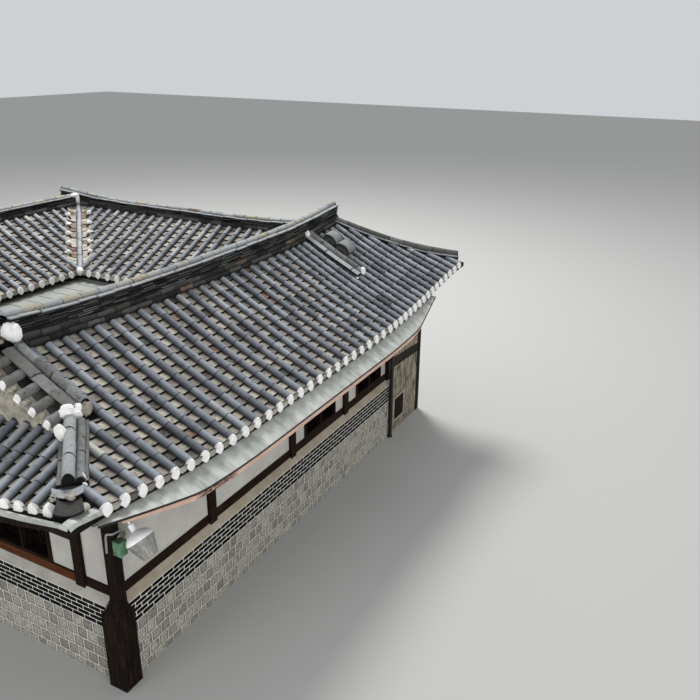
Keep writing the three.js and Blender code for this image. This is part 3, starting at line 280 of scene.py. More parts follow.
# The same clay in the troughs, under dust and washed-out mud: olive, beige and grey, now and then unsmoked red.
# Painted shadow: each dish darkens towards its edges beside the cover tiles, and the near-black band at each
# plate's high end is the step's shadow under the next plate.
TROUGH_TILE = stuff(
    "dusty_clay_trough_tile",
    ("#292825", "#56534d", "#7d786f", "#958d82", "#aaa397", "#bdb6a7", "#76594a"), 9.0, True,
    blotches=(
        ("#34332f", 16, 0.52, 0.66, 0.8), ("#cbc5b8", 34, 0.58, 0.70, 0.6), ("#776353", 6, 0.55, 0.70, 0.5)),
    grain=(70, 0.005), rough=0.92, joint=("#050504", 0.78, 0.86), painted_shade=("#0b0a09", 0.22, 0.62), spread=0.4,
    shine=0.2)
# Ridge tiles are older and face the sky: charcoal with pale lichened edges, and a few unsmoked red ones.
# Painted shade darkens the lower part of each ridge course.
RIDGE_TILE = stuff(
    "weathered_clay_ridge_tile",
    ("#0b0b0b", "#1d1d1c", "#383734", "#54534f", "#6f6f6c", "#9a9ea1", "#9f9886", "#5a3f33"), 8.0, True,
    blotches=(("#141413", 18, 0.54, 0.7, 0.7), ("#b5af9f", 26, 0.61, 0.75, 0.5)),
    grain=(80, 0.005), rough=0.85, joint=("#070706", 0.92, 0.97), painted_shade=("#0b0b0a", 0.35, 1.0), spread=0.16,
    shine=0.25)
# Slaked lime, patted on by hand: chalk white, a little grey in its hollows.
LIME_MORTAR = stuff(
    "hand_patted_lime_mortar", ("#cfcfcb", "#ecebe8", "#f6f5f3"), 14.0,
    blotches=(("#b3aea3", 24, 0.62, 0.75, 0.5),), grain=(45, 0.006), rough=0.95)
# Clay and lime bedding, weathered beige, under the verges and in old lumps.
BEDDING = stuff(
    "weathered_clay_and_lime_bedding", ("#6f6a5f", "#8f897c", "#a8a296", "#bdb8ac"), 9.0,
    blotches=(("#5a5347", 14, 0.56, 0.72, 0.7), ("#d5d0c4", 20, 0.62, 0.75, 0.6)),
    grain=(50, 0.008), rough=0.95)
# Lip tiles at the eave: clay dulled by lime and soot, with painted shade darkening the top of each lip's
# hollow.
LIP_TILE = stuff(
    "limewashed_clay_lip_tile", ("#54534e", "#86837a", "#a8a49a", "#bcb8ad"), 20.0, True,
    blotches=(("#33312e", 18, 0.54, 0.68, 0.8), ("#a58d76", 12, 0.62, 0.7, 0.6)), grain=(60, 0.005), rough=0.92,
    painted_shade=("#151412", 0.50, 1.0))
# Clay and straw under the tiles, near black.
ROOF_BED = stuff(
    "clay_and_board_roof_bed", ("#100e0c", "#1a1613", "#26201b"), 6.0, grain=(40, 0.006), rough=0.95, shine=0.1)
# Hand-trowelled lime plaster: off-white, faintly clouded, stained under the left eave.
PLASTER = stuff(
    "trowelled_lime_plaster", ("#a8a59e", "#b5b2ab", "#bfbcb5"), 2.5,
    blotches=(("#948f84", 4, 0.58, 0.75, 0.45), ("#cbc8c1", 9, 0.6, 0.75, 0.4),
              ("#8b7f63", 11, 0.45, 0.55, 0.8, ((0.14, 0.42, 2.55), 0.42))),
    grain=(120, 0.0015), rough=0.93)
# Old pine, oiled and smoked nearly black, its grain drawn out along the posts.
DARK_PINE = stuff(
    "smoked_pine", ("#040201", "#090503", "#130b07", "#24150d", "#432b1d"), 6.0, stretch=(6, 6, 0.5),
    blotches=(("#050302", 5, 0.5, 0.7, 0.7), ("#5a3d2a", 9, 0.64, 0.74, 0.6)), grain=(30, 0.004), rough=0.75,
    shine=0.1)
# The same pine turned along the wall for sills and plates, with worn brown patches.
PINE_BEAM = stuff(
    "smoked_pine_beam", ("#0a0503", "#150b07", "#23140c", "#37200f"), 5.0, stretch=(0.5, 0.5, 6),
    blotches=(("#070403", 5, 0.5, 0.7, 0.7), ("#6a4128", 6, 0.62, 0.7, 0.7)), grain=(30, 0.004), rough=0.75,
    shine=0.1)
# A newer sill on the left wall: orange-brown under its oil.
RED_PINE = stuff(
    "oiled_red_pine", ("#2c150a", "#462410", "#5d3618", "#774c25"), 5.0, stretch=(0.5, 0.5, 6),
    blotches=(("#140904", 5, 0.50, 0.66, 0.85),), grain=(30, 0.004), rough=0.7, shine=0.1)
# Black-glazed brick: near black with a soft sheen.
BLACK_BRICK = stuff(
    "black_fired_brick", ("#020202", "#060606", "#0b0b0b", "#121211"), 20.0, True,
    blotches=(("#2a2a29", 40, 0.64, 0.75, 0.4),), grain=(150, 0.002), rough=0.65, shine=0.1)
# Split granite, dressed square: pale warm grey with dark mica.
GRANITE = stuff(
    "dressed_granite", ("#78756c", "#8a877d", "#99968b", "#a6a398"), 30.0, True,
    blotches=(
        ("#2d2b27", 38, 0.53, 0.62, 0.85), ("#8f8371", 3, 0.54, 0.7, 0.4), ("#d6d3ca", 46, 0.56, 0.64, 0.8)),
    grain=(90, 0.006), rough=0.93, joint=("#37342e", 0.98, 0.70))
# Raised lime pointing: chalk pale, with soot in its pores.
POINTING = stuff(
    "raised_lime_pointing", ("#d2cfc7", "#e8e5de", "#f3f1ec"), 8.0,
    blotches=(("#8e887c", 12, 0.58, 0.72, 0.5),), grain=(110, 0.003), rough=0.95)
# The pointing between the stones is older: greyer, with dust along its foot.
STONE_POINTING = stuff(
    "dusty_lime_pointing", ("#aaa79c", "#c3c0b6", "#d6d3ca"), 8.0,
    blotches=(("#7f7a6f", 12, 0.56, 0.70, 0.6),), grain=(110, 0.003), rough=0.95)
# The ledge over the brick is the same lime, smeared with mud.
LEDGE_BEIGE = stuff(
    "mud_and_lime_ledge", ("#9a8f7c", "#aba08d", "#b9af9e"), 3.0,
    blotches=(("#857a69", 7, 0.57, 0.72, 0.5),), grain=(80, 0.003), rough=0.93)
LEDGE_GREY = stuff(
    "pale_lime_ledge", ("#a19e96", "#b2afa7", "#c0bdb5"), 3.0,
    blotches=(("#8a857a", 7, 0.57, 0.72, 0.5),), grain=(80, 0.003), rough=0.93)
# Rough-cast stone with upright chisel marks, drawn as dark and pale upright streaks; the dark ones are painted
# shade in the pits.
ROUGH_STONE = stuff(
    "chiselled_stone_facing", ("#3d382d", "#6f6757", "#968c79", "#b3a994"), 3.5, stretch=(4, 4, 1),
    blotches=(("#231e18", 4, 0.50, 0.60, 0.9), ("#d3cab8", 5, 0.56, 0.66, 0.8)), grain=(18, 0.02), rough=0.95)
# Galvanised sheet: dull grey-green zinc bloom with dark streaks down the fall.
SHEET_METAL = stuff(
    "galvanised_sheet", ("#8a8d88", "#a4a7a1", "#b8bab4", "#cbccc7"), 2.0, stretch=(5, 0.7, 1),
    blotches=(("#4d504d", 4, 0.52, 0.70, 0.8), ("#6f6a62", 9, 0.62, 0.72, 0.5)), grain=(40, 0.001), rough=0.55,
    metallic=0.1)
# Oil paint over a pine board: peach gone chalky, flaked to rust-brown wood in one place.
PAINTED_BOARD = stuff(
    "chalky_painted_board", ("#b08f7e", "#c9a795", "#d6b7a6"), 4.0, stretch=(0.6, 1, 5),
    blotches=(("#7c5a4a", 6, 0.6, 0.72, 0.6), ("#3a1a10", 26, 0.44, 0.5, 1.0, ((0.93, -0.87, 2.6), 0.42))),
    grain=(60, 0.002), rough=0.75)
# Ribbed plastic sheet over the court, milky with dust.
COURT_SHEET = stuff(
    "dusty_ribbed_sheet", ("#7a7c75", "#8e9089", "#9d9f98"), 1.2, stretch=(0.5, 3, 1),
    blotches=(("#8e8e85", 2, 0.56, 0.72, 0.5),), grain=(30, 0.002), rough=0.55)
# Spun aluminium of the lamp, brightly scratched.
LAMP_METAL = stuff(
    "spun_aluminium", ("#eef1f3", "#f8f9fa", "#ffffff"), 20.0,
    blotches=(("#7b8185", 12, 0.6, 0.72, 0.4),), grain=(140, 0.0008), rough=0.34)
# Ribbed glass of the lamp under years of dust.
LAMP_GLASS = stuff(
    "dusty_ribbed_glass", ("#6e6c66", "#88867f", "#a09e97"), 14.0,
    blotches=(("#4f4d48", 16, 0.58, 0.7, 0.6), ("#dcdad6", 22, 0.6, 0.7, 0.7)), grain=(60, 0.002), rough=0.35)
# Enamelled steel box, sage green gone chalky.
BOX_PAINT = stuff(
    "sage_enamelled_steel", ("#33543f", "#4f7a5d", "#6d967a"), 9.0,
    blotches=(("#5a5244", 8, 0.5, 0.6, 0.8), ("#26312a", 14, 0.58, 0.72, 0.6)), grain=(90, 0.001), rough=0.55)
# Float glass over a dark room: the room's darkness is painted into the glass as a near-black colour.
PANE = stuff(
    "dark_float_glass", ("#050606", "#0a0c0c", "#0f1212"), 2.0,
    grain=(3, 0.0004), rough=0.12, rough_spread=0.04)
# Black-painted iron of the apron's edge and the down pipe.
BLACK_IRON = stuff(
    "black_painted_iron", ("#050505", "#0c0c0b", "#171615"), 12.0,
    blotches=(("#3d3833", 20, 0.6, 0.72, 0.5),), grain=(80, 0.001), rough=0.55)
# Bare pine gone silver in the weather.
PALE_TIMBER = stuff(
    "silvered_bare_pine", ("#7d7767", "#989181", "#aaa494"), 9.0, stretch=(4, 4, 0.6),
    blotches=(("#4b463b", 8, 0.55, 0.7, 0.7),), grain=(40, 0.002), rough=0.85)
# Grey plastic conduit and lead-grey trim.
CONDUIT = stuff(
    "grey_plastic_conduit", ("#6d7173", "#85898b", "#989c9e"), 8.0, grain=(120, 0.0006), rough=0.5)


# Tiles on the slopes


def swept(centres, sides, ups, section, scales=(1,)):
    """Rings of a section, given as (sideways, up) corners, at the centres of each body, each with its scale."""
    sides, ups = (np.broadcast_to(v, centres.shape)[:, :, None] for v in (sides, ups))
    scaled = np.reshape(scales, (-1, 1, 1)) * np.asarray(section, float)
    return centres[:, :, None] + scaled[..., :1] * sides + scaled[..., 1:] * ups


def half_round(half, rise, foot=0.012, count=9):
    """A half ellipse closed by a flat foot a little below its base."""
    turn = np.linspace(0, math.pi, count)
    arch = columns(half * np.cos(turn), rise * np.sin(turn) ** 0.9)
    return np.concatenate([[[half, -foot]], arch[1:-1], [[-half, -foot]]])


def trough(half, thick=0.012, dip=0.03):
    """A shallow dish: a parabola across the lane with a flat underside."""
    across = np.linspace(-half, half, 5)
    top = columns(across, dip * (across / half) ** 2)
    return np.concatenate([[[-half, -thick], [half, -thick]], top[::-1]])


def lapped(slope, rows, start, end, step, lap, first_lap=0.0, past=0.0):
    """For each row that is long enough, its number, and the places, sides and ups at both ends of its tiles.

    Each tile reaches down over the one below it by lap, and a row runs on past its end by past."""
    for k, along in enumerate(rows):
        low, high = start(along), end(along) + past
        if high - low < SHORTEST_ROW:
            continue
        edges = np.arange(low, high, step)
        edges[1:] += chance.uniform(-0.02, 0.02)
        edges = np.append(edges[edges < high - 0.3 * step], high)
        ends = columns(edges[:-1] - lap, edges[1:])
        ends[0, 0] = low - first_lap
        yield k, slope.point(along, ends), *slope.frame(along, ends)


def lay_rows(cover, lanes, slope, rows, start, end):
    """Cover tiles over each row and trough tiles between rows, lapped like scales from the eave up."""
    arch = half_round(COVER_HALF, COVER_RISE)
    # Painted shade on each cover tile: 1 at the foot of its sides, 0 on its crown.
    flank_shade = np.clip(1 - arch[:, 1] / COVER_RISE, 0, 1)
    for _, where, side, up in lapped(slope, rows, start, end, COVER_STEP, TILE_LAP):
        tone = np.clip(chance.normal(0.5, 0.14, len(where)), 0.05, 0.85)
        tone[-1] += chance.uniform(0, 0.3)
        cover.add(swept(where + 0.004 * up, side, up, arch, (1.035, 0.97)), tone, flank_shade)
    middles, halves = (rows[1:] + rows[:-1]) / 2, np.diff(rows) / 2
    for k, where, side, up in lapped(slope, middles, start, end, TROUGH_STEP, TROUGH_LAP, TROUGH_LAP, 0.05):
        tone = np.clip(chance.normal(0.5, 0.17, len(where)), 0.1, 0.72)
        tone[chance.random(len(where)) < RED_SHARE] = RED
        dish = trough(halves[k] - 0.022)
        # Painted shade on each trough: darker towards the edges of the dish, beside the cover tiles.
        lanes.add(swept(where + TROUGH_LIFT * up, side, up, dish), tone, np.abs(dish[:, 0]) / halves[k])


def eave_frame(slope, along, low):
    """Places, side and up vectors, and the way out over the eave, at the ends of rows."""
    where, (side, up) = slope.point(along, low), slope.frame(along, low)
    out = unit(np.cross(side, up))
    out *= np.sign(np.einsum("ij,ij->i", out, slope.point(along, low - 0.1) - where))[:, None]
    return (v[:, None] for v in (where, side, up, out))


def lumps(heap, centres, size, rough=0.1):
    """Hand-patted lumps: squashed balls of six rings, each point moved in or out a little."""
    centres = np.atleast_2d(np.asarray(centres, float))
    lift, turn = np.linspace(-1.3, 1.3, 6)[:, None], np.linspace(0, 2 * math.pi, 11)[:-1]
    ball = columns(np.cos(lift) * np.cos(turn), np.cos(lift) * np.sin(turn), np.sin(lift))
    uneven = 1 + chance.normal(0, rough, (len(centres), *ball.shape[:2], 1))
    return heap.add(centres[:, None, None] + ball * uneven * np.asarray(size, float))


def close_eave(plugs, lips, slope, rows, start):
    """White mortar plugs in the cover tiles' ends, and a hanging lip at each trough's end.

    Both are sheared by their height, so that their faces lean back and look out and a little up."""
    turn = np.linspace(0, math.pi, 9)
    shield = np.concatenate([
        columns(PLUG_HALF * np.cos(turn), PLUG_RISE * np.sin(turn)),
        [[-0.045, -0.024], [0, -0.052], [0.045, -0.024]]])
    where, side, up, out = eave_frame(slope, rows, start(rows))
    rings = []
    for forward, size in ((-0.03, 0.97), (0.024, 1.0), (0.036, 0.8)):
        push = forward + PLUG_LEAN * (forward > 0) * (PLUG_RISE - shield[:, 1] * size)
        rings.append(where + (side * shield[:, :1] + up * shield[:, 1:]) * size + out * push[:, None])
    rings = np.stack(rings, 1)
    plugs.add(rings + chance.normal(0, 0.002, rings.shape))
    middles, halves = (rows[1:] + rows[:-1]) / 2, np.diff(rows) / 2
    where, side, up, out = eave_frame(slope, middles, start(middles) - 0.018)
    arc, back = np.linspace(math.pi, 2 * math.pi, 9), np.linspace(1, -1, 5)[1:-1]
    smile = np.concatenate([
        columns(np.cos(arc), LIP_DROP * np.sin(arc) + LIP_DIP), columns(back, LIP_DIP * back**2)])
    across = (halves * 0.77)[:, None, None] * smile[None, :, :1]
    rings = []
    for forward in (0.0, LIP_THICKNESS):
        push = forward - LIP_LEAN * np.minimum(smile[:, 1], 0)
        rings.append(where + across * side + (smile[:, 1:] + 0.026) * up + push[:, None] * out)
    # Painted shade in each lip: 0 at the lowest point of its rim, 1 at its top, in the hollow under the plug.
    painted_shade_depth = (smile[:, 1] - smile[:, 1].min()) / np.ptp(smile[:, 1])
    lips.add(np.stack(rings, 1), np.clip(chance.normal(0.55, 0.22, len(middles)), 0, 1), painted_shade_depth)


def start_at_eave(first, last):
    return lambda s: ROW_START - bulge(s, first, last)


def start_at_skirt(s):
    return 0 * s + SKIRT_INSET


def left_limit(s, run):
    """Where a row at the left stops: at the hip, at the foot of the verge, or at the ridge."""
    return np.where(s < 0.02, s - LEFT_EAVE - 0.14, np.where(s < 0.46, 0.97, run - 0.13))


def long_end(run, hip):
    """Where the rows of a long slope stop: at the left's limit, or at the right hip of (y, x) reach."""
    slant = hip[0] / hip[1]
    return lambda s: np.minimum(left_limit(s, run), -HIP_OUT + (RIGHT_EAVE + HIP_OUT - s) * slant - 0.15)


def outer_end(s):
    front = -HIP_OUT + (s - FRONT_EAVE + HIP_OUT) * (FRONT_HIP[1] / FRONT_HIP[0])
    rear = -HIP_OUT + (REAR_EAVE + HIP_OUT - s) * (REAR_HIP[1] / REAR_HIP[0])
    return np.minimum(np.minimum(front, rear), OUTER_RUN) - 0.12


def skirt_end(low, high):
    return lambda s: np.minimum(np.minimum(s - low, high - s), 1.08) - 0.12


def past_valley(corner, way, eave_bulge=lambda s: 0 * s):
    """On a court slope a row starts at the eave, or at the valley where it has passed the court's corner."""

    def start(s):
        beyond = way * (s - corner)
        return np.where(beyond > 0, beyond + VALLEY_GAP, ROW_START - eave_bulge(s))

    return start


def evenly(first, step, last):
    return np.arange(first, last + 0.001, step)


FRONT_ROWS = np.concatenate([evenly(-0.567, 0.263, 6.02), evenly(6.23, 0.202, 9.1)])
LONG_START = start_at_eave(LEFT_EAVE, RIGHT_EAVE)
WING_START = past_valley(RIGHT_COURT, 1, lambda s: bulge(s, LEFT_EAVE, LEFT_EAVE))
VALLEY_STARTS = past_valley(FRONT_COURT, -1), past_valley(REAR_COURT, 1)
SLOPES = {
    "front": (Slope("x", FRONT_EAVE, 1), FRONT_ROWS, LONG_START, long_end(MAIN_RUN, FRONT_HIP)),
    "front_court": (
        Slope("x", FRONT_COURT, -1), evenly(-0.567, 0.263, 7.75),
        WING_START, lambda s: left_limit(s, MAIN_RUN)),
    "front_left_hip": (
        Slope("y", LEFT_EAVE, 1), evenly(-0.308, 0.214, 3.6),
        start_at_skirt, skirt_end(FRONT_EAVE, FRONT_COURT)),
    "right_court": (
        Slope("y", RIGHT_COURT, 1), evenly(2.108, 0.262, 8.4),
        lambda s: np.maximum(*(begin(s) for begin in VALLEY_STARTS)), lambda s: 0 * s + SIDE_RUN - 0.12),
    "right_outer": (
        Slope("y", RIGHT_EAVE, -1, SIDE_RUN / OUTER_RUN), evenly(-0.36, 0.25, 10.25),
        start_at_eave(FRONT_EAVE, REAR_EAVE), outer_end),
    "rear_court": (
        Slope("x", REAR_COURT, 1), evenly(-0.46, 0.255, 7.7), WING_START, lambda s: left_limit(s, SIDE_RUN)),
    "rear_back": (
        Slope("x", REAR_EAVE, -1), evenly(-0.567, 0.258, 9.05), LONG_START, long_end(SIDE_RUN, REAR_HIP)),
    "rear_left_hip": (
        Slope("y", LEFT_EAVE, 1), evenly(6.85, 0.214, 10.2), start_at_skirt, skirt_end(REAR_COURT, REAR_EAVE)),
}

for title, (slope, rows, start, end) in SLOPES.items():
    cover, lanes, plugs, lips = Heap(), Heap(), Heap(), Heap()
    lay_rows(cover, lanes, slope, rows, start, end)
    at_eave = start(rows) < 0.1
    close_eave(plugs, lips, slope, rows[at_eave], start)
    inner = rows[~at_eave & (end(rows) - start(rows) > SHORTEST_ROW)]
    if len(inner):
        lumps(plugs, slope.point(inner, start(inner) - 0.02) + 0.045 * UP, (0.075, 0.075, 0.055))
    cover.make("cover_tiles_" + title, COVER_TILE, "roof_tile")
    lanes.make("trough_tiles_" + title, TROUGH_TILE, "roof_tile")
    plugs.make("mortar_plugs_" + title, LIME_MORTAR, "plaster")
    lips.make("lip_tiles_" + title, LIP_TILE, "roof_tile")


# Ridges


class Ridge(Heap):
    """A heap of courses of tiles along the path that it follows. Heights stretch where the ridge rises."""

    def follow(self, path, rises=0.0, height=1.0):
        self.path, self.rises, self.height = path, np.broadcast_to(rises, len(path)), height
        self.reach = np.append(0, np.cumsum(np.linalg.norm(np.diff(path, axis=0), axis=1)))
        return self

    def course(self, section, length, tones, shift=0.0, loose=0.003, step=(1.03, 0.98), painted_shade_share=1.0):
        """Tiles laid end to end, each taking its ends from the path by its distance along it.

        The section is (sideways, up) from the path. shift is how much of the first tile is cut off."""
        whole = self.reach[-1]
        edges = np.clip(np.arange(-shift, whole + length, length), 0, whole)
        edges = edges[np.append(True, np.diff(edges) > 0.04)]
        edges[-1] = whole
        ends = columns(np.maximum(edges[:-1] - TILE_LAP, 0), edges[1:])
        where = columns(*(np.interp(ends, self.reach, values) for values in self.path.T))
        rise = np.interp(ends, self.reach, self.rises)
        flat = unit(unit(where[:, 1] - where[:, 0]) * [1, 1, 0])
        side = columns(flat[:, 1], -flat[:, 0], 0)[:, None]
        middle = section.mean(0)
        nudge = chance.normal(0, loose, (len(ends), 1, 2))
        rings = []
        for k, scale in enumerate(step):
            local = (section - middle) * scale + middle + nudge
            up = local[..., 1:] * (1 + rise[:, k, None, None] / self.height)
            rings.append(where[:, k, None] + local[..., :1] * side + up * UP)
        # Painted shade: 0 at the top of the section, 1 at its lowest corners, times the share that the last
        # argument gives.
        painted_shade_depth = (section[:, 1].max() - section[:, 1]) / np.ptp(section[:, 1])
        self.add(np.stack(rings, 1), chance.uniform(*tones, len(ends)), painted_shade_share * painted_shade_depth)

    def redden(self, share):
        """Turns a share of the rolls of the last course to the unsmoked red. A roll has sixteen points."""
        last = self.tones[-1]
        last[np.repeat(chance.random(len(last) // 16) < share, 16)] = 0.97


def roll(side, up, half, rise):
    return half_round(half, rise, 0.02, 8) + [side, up]


def plate(one, other, low, high, crown=0.0):
    """A flat tile between two sideways places, its top a little crowned."""
    left, right = sorted((one, other))
    top = [right, high], [(left + right) / 2, high + crown], [left, high]
    return np.array([[left, low], [right, low], *top])


def main_stack(ridge, width, feet, thin, band):
    """A ridge from the foot up: side rolls at the heights in feet, thin courses, a pale band, the top roll.

    thin and band are the heights at which the thin courses and the band begin."""
    half = width / 2
    for k, foot in enumerate(feet):
        for way in (1, -1):
            section = roll(way * (half - 0.052 - 0.025 * k), foot, 0.05, 0.058)
            ridge.course(section, RIDGE_STEP, (0.14, 0.45), 0.1 + 0.1 * k)
            ridge.redden(0.03)
    layers = round((band - thin) / 0.0225)
    pitch = (band - thin) / layers
    for layer in range(layers):
        out = half - 0.055 + chance.uniform(-0.008, 0.008)
        base = thin + layer * pitch
        section = plate(-out, out, base, base + 0.55 * pitch)
        ridge.course(section, 0.26, (0.05, 0.6), chance.uniform(0, 0.24), step=(1.02, 0.99))
    core, lip = half - 0.08, half - 0.03
    # The core is near black: painted shade in the gaps between the thin courses.
    ridge.course(plate(-core, core, -0.05, band), 2.0, (0.0, 0.01), loose=0, step=(1, 1))
    ridge.course(plate(-lip, lip, band + 0.006, band + 0.026, 0.012), RIDGE_STEP, (0.68, 0.75), 0.15)
    ridge.course(roll(0, band + 0.03, 0.060, ridge.height - band - 0.03), RIDGE_STEP, (0.62, 0.88), 0.05)
    ridge.redden(0.04)


def front_ridge_path():
    x = np.linspace(RIDGE_START, 8.03, 45)
    z = roof_height(np.minimum(x, FRONT_RIDGE_END), FRONT_RIDGE, MAIN_RUN) - 0.045
    return columns(x, FRONT_RIDGE, z), 0.07 * np.maximum(0, (4.2 - x) / 3.87) ** 3


def right_ridge_path():
    y = np.linspace(1.9, 9.0, 41)
    z = roof_height(RIGHT_RIDGE, np.minimum(y, REAR_RIDGE), SIDE_RUN) - 0.04
    return columns(RIGHT_RIDGE, y, z), 0.11 * np.maximum(0, (y - 6.6) / 2.4) ** 2


def rear_ridge_path():
    x = np.linspace(RIDGE_START, RIGHT_RIDGE - 0.1, 41)
    z = roof_height(x, REAR_RIDGE, SIDE_RUN) - 0.04
    return columns(x, REAR_RIDGE, z), 0.06 * np.maximum(0, (4.1 - x) / 3.77) ** 3


for title, (path, rises), width, height, feet, thin, band in (
    ("main_ridge_front", front_ridge_path(), 0.30, 0.425, (0.035, 0.105), 0.150, 0.335),
    ("main_ridge_right", right_ridge_path(), 0.28, 0.270, (0.03,), 0.080, 0.19),
    ("main_ridge_rear", rear_ridge_path(), 0.28, 0.270, (0.03,), 0.080, 0.19),
):
    ridge = Ridge().follow(path, rises, height)
    main_stack(ridge, width, feet, thin, band)
    ridge.make("tiles_" + title, RIDGE_TILE, "ridge_tile", title)

caps = Heap()
for places, size, rough in (
    ([(0.35, FRONT_RIDGE - 0.08, 4.27)], (0.09, 0.15, 0.13), 0.05),
    ([(0.37, REAR_RIDGE, 3.92), (7.74, REAR_RIDGE, 3.92)], (0.06, 0.11, 0.10), 0.07),
    ([(7.66, 8.40, 4.04)], (0.10, 0.07, 0.05), 0.05),
    ([(7.71, 8.36, 3.95)], (0.05, 0.05, 0.12), 0.05),
):
    lumps(caps, places, size, rough)
caps.make("mortar_on_ridge_ends", LIME_MORTAR, "plaster")


def hip_path(start, finish, eave, way):
    """A straight line in plan, laid on the tile bed of the slope behind an eave, with its share from 0 to 1."""
    t = np.linspace(0, 1, 21)
    x, y = start[0] + (finish[0] - start[0]) * t, start[1] + (finish[1] - start[1]) * t
    return columns(x, y, roof_height(x, y, way * (y - eave))), t


# A ridge down a right hip: dark beds, the lowest near black as painted shade under the band, a pale flat band,
# and one large roll on top.
for title, start, finish, eave, way in (
    ("hip_ridge_front_right", (7.98, 1.56), (9.24, -0.59), FRONT_EAVE, 1),
    ("hip_ridge_rear_right", (7.90, 8.56), (9.24, 10.43), REAR_EAVE, -1),
):
    path, t = hip_path(start, finish, eave, way)
    ridge = Ridge().follow(path, 0.03 * t, 0.15)
    ridge.course(plate(-0.09, 0.09, -0.05, 0.05), 0.26, (0.0, 0.1))
    ridge.course(plate(-0.11, 0.11, 0.004, 0.02), 0.24, (0.1, 0.5), 0.1)
    ridge.course(plate(-0.125, 0.125, 0.05, 0.07, 0.012), RIDGE_STEP, (0.64, 0.74), 0.12)
    ridge.course(roll(0, 0.075, 0.068, 0.075), RIDGE_STEP, (0.4, 0.6), 0.02)
    ridge.make("tiles_" + title, RIDGE_TILE, "ridge_tile", title)


def down_stack(ridge, turn, beds, flat, top, flat_tones=(0.66, 0.74)):
    """A ridge straight down a slope: thin beds, a pale flat row on the outer side, and a roll on the inner.

    turn is 1 or -1, so that sideways places count towards +x whichever way the path runs."""
    for left, right, low, high in beds:
        section = plate(turn * left, turn * right, low, high)
        ridge.course(section, 0.25, (0.0, 0.45), chance.uniform(0, 0.2))
    section = plate(turn * flat[0], turn * flat[1], flat[2], flat[2] + 0.016, 0.014)
    ridge.course(section, RIDGE_STEP, flat_tones, 0.1)
    ridge.course(roll(turn * top[0], top[1], 0.064, 0.072), 0.27, (0.5, 0.68), 0.2)


path, _ = hip_path((6.9, 1.50), (6.9, 0.38), FRONT_EAVE, 1)
ridge = Ridge().follow(path)
down_stack(
    ridge, -1,
    ((-0.09, 0.13, -0.05, 0.06), (-0.12, 0.12, 0.02, 0.035),
     (-0.13, 0.12, 0.06, 0.075), (-0.12, 0.11, 0.085, 0.10)),
    (-0.145, -0.01, 0.105), (0.065, 0.11))
ridge.make("tiles_descending_ridge_right", RIDGE_TILE, "ridge_tile", "descending_ridge_right")
caps = Heap()
lumps(caps, [path[0] + [-0.07, 0.0, 0.13], path[-1] + [0.06, 0.01, 0.14]], (0.065, 0.05, 0.08))
lumps(caps, [path[-1] + [-0.06, 0.03, 0.06]], (0.09, 0.05, 0.04))
caps.make("mortar_descending_ridge_right", LIME_MORTAR, "plaster")


def shell(curve):
    """The section of a curved tile: a curve and the same curve again, a tile's thickness lower."""
    return np.concatenate([curve, curve[::-1] - [0, TILE_THICKNESS]])


def spare_tiles(heap, x, y, count):
    """A pile of curved tiles left hollow side down on the front slope, each a slice of an arch."""
    turn = np.linspace(0.2, math.pi - 0.2, 7)
    section = shell(columns(0.155 * np.cos(turn), 0.095 * np.sin(turn)))
    slope = SLOPES["front"][0]
    for k in range(count):
        across = x + np.array([[-0.13, 0.13]]) + chance.normal(0, 0.012)
        where = slope.point(across, y - FRONT_EAVE)
        side, up = slope.frame(across, y - FRONT_EAVE)
        tone = 0.62 if k == count - 1 else chance.uniform(0.3, 0.6)
        heap.add(swept(where + (0.05 + 0.027 * k) * up, np.cross(up, side), up, section), tone)


piles = Heap()
spare_tiles(piles, 7.28, 1.25, 5)
spare_tiles(piles, 7.24, 0.98, 5)
piles.make("piles_of_spare_tiles", RIDGE_TILE, "ridge_tile")


def valley(title, corner, way):
    """A wide roll down a valley from the ridge to the court's corner, a trough row each side, and mortar."""
    inward = np.linspace(SIDE_RUN - 0.06, -0.02, 15)
    x, y = RIGHT_COURT + inward, corner + way * inward
    path = columns(x, y, roof_height(x, y, inward))
    rolls, lanes, mortar = Ridge().follow(path), Ridge().follow(path), Heap()
    rolls.course(roll(0, 0.02, 0.070, 0.085), RIDGE_STEP, (0.6, 0.85), 0.1)
    for side in (1, -1):
        section = trough(0.095, 0.012, 0.02) + [side * 0.158, 0.03]
        section[:, 1] += 0.35 * np.abs(section[:, 0])
        lanes.course(section, TROUGH_STEP, (0.75, 1.0), 0.05, 0.004, (1, 1), 0.25)
    lumps(mortar, path[-1] + [-0.02, -0.02 * way, 0.05], (0.085, 0.085, 0.085))
    lumps(mortar, path[0] + 0.05 * UP, (0.09, 0.09, 0.08))
    rolls.make("valley_roll_" + title, COVER_TILE, "roof_tile")
    lanes.make("valley_troughs_" + title, TROUGH_TILE, "roof_tile")
    mortar.make("valley_mortar_" + title, LIME_MORTAR, "plaster")


valley("front", FRONT_COURT, -1)
valley("rear", REAR_COURT, 1)


def cross_tiles(heap, mortar, bed_mortar, run, ridge, eave, way):
    """Short cover and trough tiles that stick out of the verge, with a plug and two lumps of bedding each."""
    side, up = unit(Y + PITCH * way * UP), unit(UP - PITCH * way * Y)
    for inward in np.arange(1.18, run, CROSS_STEP):
        place = eave + way * inward
        bed = float(roof_height(0.0, place, inward))
        ends = np.array([[[-0.13, place, bed + 0.02], [0.16, place, bed + 0.06]]])
        heap.add(swept(ends, side, up, half_round(0.062, 0.07), (1.03, 0.97)), chance.uniform(0.5, 0.62))
        cap = np.array([[[-0.125, place, bed + 0.018], [-0.150, place, bed + 0.004]]])
        mortar.add(swept(cap, side, up, half_round(0.056, 0.066, 0.03), (1.0, 0.8)))
        halfway = place + way * CROSS_STEP / 2
        if abs(halfway - ridge) > 0.05:
            low = float(roof_height(0.0, halfway, inward + CROSS_STEP / 2))
            ends = np.array([[[-0.145, halfway, low - 0.004], [0.16, halfway, low + 0.03]]])
            heap.add(swept(ends, side, up, trough(0.1)), chance.uniform(0.80, 0.93))
        lumps(bed_mortar, [(-0.075, place + way * s, bed - 0.035) for s in (-0.05, 0.05)], (0.06, 0.07, 0.045))


